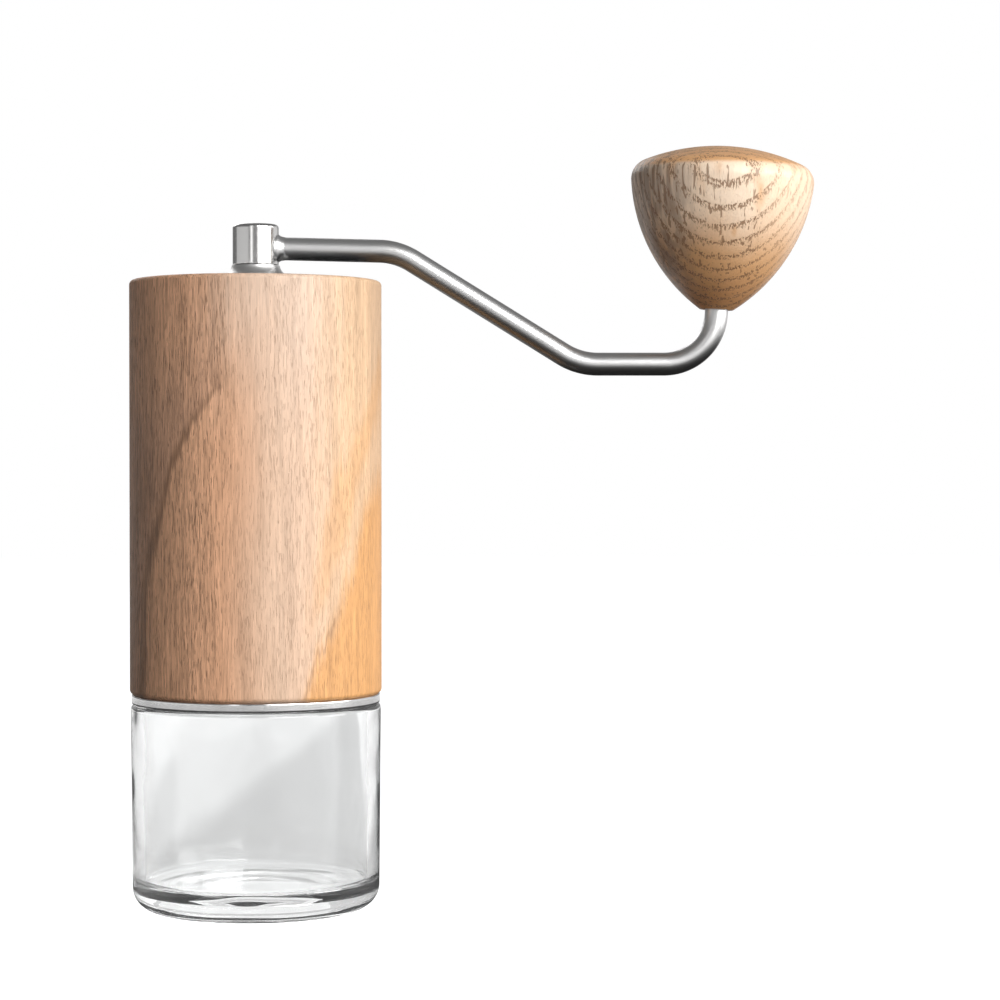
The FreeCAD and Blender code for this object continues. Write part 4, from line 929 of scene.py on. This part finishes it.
def coiled(reach, wire, bottom, top, turns, steps=60, columns=12):
    """A coil spring of round wire with flat ends.

    Each point is (reach cos(a), reach sin(a), level) + wire times (outward cos(b) + across sin(b)).
    The level rises evenly with the angle a, and across is square to the way of the wire and to
    outward. The wire's radius is nothing at both ends, which closes them flat.
    """
    share = np.concatenate([[0], np.linspace(0, 1, int(turns * steps) + 1), [1]])
    angle = 2 * math.pi * turns * share
    level = bottom + wire + (top - bottom - 2 * wire) * share
    nothing = np.zeros_like(angle)
    outward = np.stack([np.cos(angle), np.sin(angle), nothing], axis=1)
    climb = (top - bottom - 2 * wire) / (2 * math.pi * turns)
    way = np.stack([-reach * np.sin(angle), reach * np.cos(angle), nothing + climb], axis=1)
    across = np.cross(way / math.hypot(reach, climb), outward)
    centre = reach * outward + np.stack([nothing, nothing, level], axis=1)
    thick = np.full_like(angle, wire)
    thick[[0, -1]] = 0
    around = round_angles(columns)[:, None]
    ring = outward[:, None] * np.cos(around) + across[:, None] * np.sin(around)
    return centre[:, None] + thick[:, None, None] * ring


class GRINDER_OT_spring(bpy.types.Operator):
    """Makes the coil spring over the cone burr, which shortens as the burr rises"""
    bl_idname = "grinder.spring"
    bl_label = "Burr Spring"

    def execute(self, context):
        reach, wire, turns = 5.2, 0.5, 3.5
        piece = surface("burr_coil", coiled(reach, wire, SPRING_BOTTOM, SPRING_TOP, turns))
        material = metal("coil_steel", *SPRING_LOOK)
        settle(piece, material, "axle", "spring_steel", "burr_spring")
        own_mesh(piece)
        return {"FINISHED"}


class GRINDER_OT_fittings(bpy.types.Operator):
    """Gives every piece that keeps its CAD shape its material"""
    bl_idname = "grinder.fittings"
    bl_label = "Inner Fittings"

    def execute(self, context):
        steels = {
            "liner_steel": ((0.60, 0.61, 0.62), 0.24, 0.38, (1, 1, 0.1)),
            "burr_steel": ((0.36, 0.37, 0.39), 0.28, 0.45, (1, 1, 1), 2.5),
            "axle_steel": ((0.56, 0.57, 0.58), 0.16, 0.30, (1, 1, 8), 1.5),
            "bearing_steel": ((0.70, 0.71, 0.73), 0.06, 0.14, (1, 1, 6)),
            "spring_steel": SPRING_LOOK,
            "carrier_steel": ((0.52, 0.52, 0.54), 0.24, 0.4),
            "dial_steel": ((0.54, 0.54, 0.55), 0.2, 0.34, (1, 1, 6), 1.5),
        }
        plastics = {
            "carrier_plastic": ((0.02, 0.02, 0.02), 0.5),
            "bridge_plastic": ((0.025, 0.025, 0.027), 0.48),
            "bush_plastic": ((0.72, 0.72, 0.69), 0.4),
            "seal_rubber": ((0.5, 0.5, 0.49), 0.6),
        }
        made = {slot: metal(slot, *look) for slot, look in steels.items()}
        made.update((slot, dull(slot, *look)) for slot, look in plastics.items())
        replaced = {node for piece in bpy.data.objects for node in piece.get("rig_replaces", [])}
        for row in frame["record"]["subparts"]:
            if row["node"] in replaced:
                continue
            node = frame["nodes"][row["node"]]
            node.data.materials.clear()
            node.data.materials.append(made[row["material_slot"]])
        return {"FINISHED"}


def lamp(name, power, place, aim, width, height):
    """A soft rectangular lamp that faces a point."""
    data = bpy.data.lights.new(name, "AREA")
    data.shape = "RECTANGLE"
    data.energy = power
    data.size, data.size_y = width, height
    made = bpy.data.objects.new(name, data)
    made.location = place
    made.rotation_euler = (Vector(aim) - Vector(place)).to_track_quat("-Z", "Y").to_euler()
    bpy.context.scene.collection.objects.link(made)


def floor_material():
    """White floor: dark to scattered light, bright to the eye, with a faint shadow of the object.

    In gloss it is bright far away and beside the jar. Through the glass it shows the soft grey
    shade that lies behind the jar, to the right of a slanting line.
    """
    material, tree, shader = new_material("studio_floor")
    set_shader(shader, Base_Color=(0.08, 0.08, 0.08, 1), Roughness=0.9, Specular_IOR_Level=0.0)
    ray = put(tree, "ShaderNodeLightPath").outputs
    seen = plus(ray["Is Camera Ray"], ray["Is Transmission Ray"])
    place = millimetres(tree)
    x, y, _ = axes(place)
    away = ease(vector("LENGTH", place), 460.0, 610.0)
    beside = times(ease(x, -16.0, -30.0), ease(x, -115.0, -85.0))
    beside = times(ease(y, 20.0, 60.0), beside)
    glossy = times(calc("MAXIMUM", away, beside), 0.8)
    seen = plus(seen, times(ray["Is Glossy Ray"], glossy), clamp=True)
    # Painted shadow: seen through glass, the floor near the object is dimmed, and more so in a
    # patch behind the jar to the right of a slanting line.
    edge_left, edge_start, edge_lean = 60.0, 34.0, 0.182
    edge = less(times(less(y, edge_start), edge_lean), edge_left)
    shade = ease(less(x, edge), -10.0, 14.0)
    near = ease(calc("ABSOLUTE", x), 130.0, 80.0)
    through = times(ray["Is Transmission Ray"], near)
    bright = less(0.94, times(through, spread(shade, 0.30, 0.55)))
    glow = put(tree, "ShaderNodeEmission", {0: (1, 1, 1, 1), 1: bright})
    faint = put(tree, "ShaderNodeBsdfDiffuse", {0: (0.4, 0.4, 0.4, 1)})
    both = put(tree, "ShaderNodeAddShader", {0: glow.outputs[0], 1: faint.outputs[0]})
    blend_surface(seen, shader, both)
    return material


def backdrop_material():
    """A white card that shows to the eye, through glass and weakly in gloss, and gives no light."""
    material, tree, shader = new_material("studio_backdrop")
    set_shader(shader, Base_Color=(0.3, 0.3, 0.3, 1), Roughness=0.9, Specular_IOR_Level=0.0)
    ray = put(tree, "ShaderNodeLightPath").outputs
    seen = plus(ray["Is Camera Ray"], ray["Is Transmission Ray"])
    seen = plus(seen, times(ray["Is Glossy Ray"], 0.35), clamp=True)
    glow = put(tree, "ShaderNodeEmission", {0: (1, 1, 1, 1), 1: 1.0})
    blend_surface(seen, shader, glow)
    return material


def studio_world(surround):
    """A dim grey room: plain white to the eye, and lighter through glass and in gloss."""
    world = bpy.data.worlds.new("studio")
    world.use_nodes = True
    tree = world.node_tree
    ray = put(tree, "ShaderNodeLightPath").outputs
    seen = times(ray["Is Camera Ray"], 1.0 - surround)
    through = times(ray["Is Transmission Ray"], 0.55)
    glossy = times(ray["Is Glossy Ray"], 0.06)
    strength = plus(plus(surround, seen), plus(through, glossy))
    feed(tree.nodes["Background"], {0: (1, 1, 1, 1), 1: strength})
    return world


def card(name, corners, material):
    """A flat four-cornered piece of the stage."""
    mesh = bpy.data.meshes.new(name)
    mesh.from_pydata(corners, [], [(0, 1, 2, 3)])
    mesh.materials.append(material)
    made = bpy.data.objects.new(name, mesh)
    bpy.context.scene.collection.objects.link(made)


class GRINDER_OT_stage(bpy.types.Operator):
    """Sets up the floor, the lamps and the camera"""
    bl_idname = "grinder.stage"
    bl_label = "Stage"

    def execute(self, context):
        scene = context.scene
        settings = scene.grinder_stage
        low, wide, far, left, right, high = -0.0002, 8, 2.4, -1.4, 1.6, 1.5
        floor = [(-wide, -wide, low), (wide, -wide, low), (wide, wide, low), (-wide, wide, low)]
        card("floor", floor, floor_material())
        backdrop = [(left, far, low), (right, far, low), (right, far, high), (left, far, high)]
        card("backdrop", backdrop, backdrop_material())
        scene.world = studio_world(settings.surround)
        aim = (0.03, 0.0, 0.09)
        lamp("key", settings.key_power, (1.00, -1.10, 0.66), aim, 1.30, 0.90)
        lamp("edge", settings.edge_power, (1.05, 0.62, 0.35), aim, 1.0, 0.6)
        lamp("strip", settings.strip_power, (-0.36, -1.30, 0.50), aim, 0.24, 0.9)
        lamp("left", settings.left_power, (-0.80, -0.34, 0.12), (0.0, 0.0, 0.09), 1.30, 0.50)
        lamp("back", settings.back_power, (-0.55, 1.25, 0.85), aim, 0.9, 0.7)
        lamp("side", settings.side_power, (1.45, -0.12, 0.45), aim, 0.7, 0.8)
        data = bpy.data.cameras.new("camera")
        data.sensor_width = 36.0
        data.lens = settings.lens
        camera = bpy.data.objects.new("camera", data)
        camera.location = CAMERA_PLACE
        camera.rotation_euler = (math.pi / 2 - CAMERA_PITCH, 0.0, 0.0)
        scene.collection.objects.link(camera)
        scene.camera = camera
        scene.view_settings.view_transform = "Standard"
        return {"FINISHED"}


class GRINDER_PT_panel(bpy.types.Panel):
    """The grinder's tools and settings"""
    bl_idname = "GRINDER_PT_panel"
    bl_label = "Coffee Grinder"
    bl_space_type = "VIEW_3D"
    bl_region_type = "UI"
    bl_category = "Grinder"

    def draw(self, context):
        layout = self.layout
        for operator in OPERATORS:
            layout.operator(operator.bl_idname)
        for name, group in SETTINGS:
            column = layout.column(heading=group.__doc__)
            settings = getattr(context.scene, name)
            for key in group.__annotations__:
                column.prop(settings, key)


SETTINGS = (
    ("grinder_wood", GrinderWood),
    ("grinder_knob", GrinderKnob),
    ("grinder_glass", GrinderGlass),
    ("grinder_steel", GrinderSteel),
    ("grinder_stage", GrinderStage),
)
OPERATORS = (
    GRINDER_OT_body,
    GRINDER_OT_jar,
    GRINDER_OT_collar,
    GRINDER_OT_lid,
    GRINDER_OT_hub,
    GRINDER_OT_arm,
    GRINDER_OT_knob,
    GRINDER_OT_spring,
    GRINDER_OT_fittings,
    GRINDER_OT_stage,
)


def register():
    """Makes the settings, the operators and the panel known to Blender."""
    for name, group in SETTINGS:
        bpy.utils.register_class(group)
        setattr(bpy.types.Scene, name, PointerProperty(type=group))
    for operator in OPERATORS:
        bpy.utils.register_class(operator)
    bpy.utils.register_class(GRINDER_PT_panel)


def unregister():
    """Takes the panel, the operators and the settings out again."""
    bpy.utils.unregister_class(GRINDER_PT_panel)
    for operator in reversed(OPERATORS):
        bpy.utils.unregister_class(operator)
    for name, group in reversed(SETTINGS):
        delattr(bpy.types.Scene, name)
        bpy.utils.unregister_class(group)


def main():
    """Builds the whole scene and writes how large it is beside the CAD."""
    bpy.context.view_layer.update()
    register()
    grain_group()
    for operator in OPERATORS:
        area, name = operator.bl_idname.split(".")
        getattr(getattr(bpy.ops, area), name)()


if __name__ == "__main__":
    main()
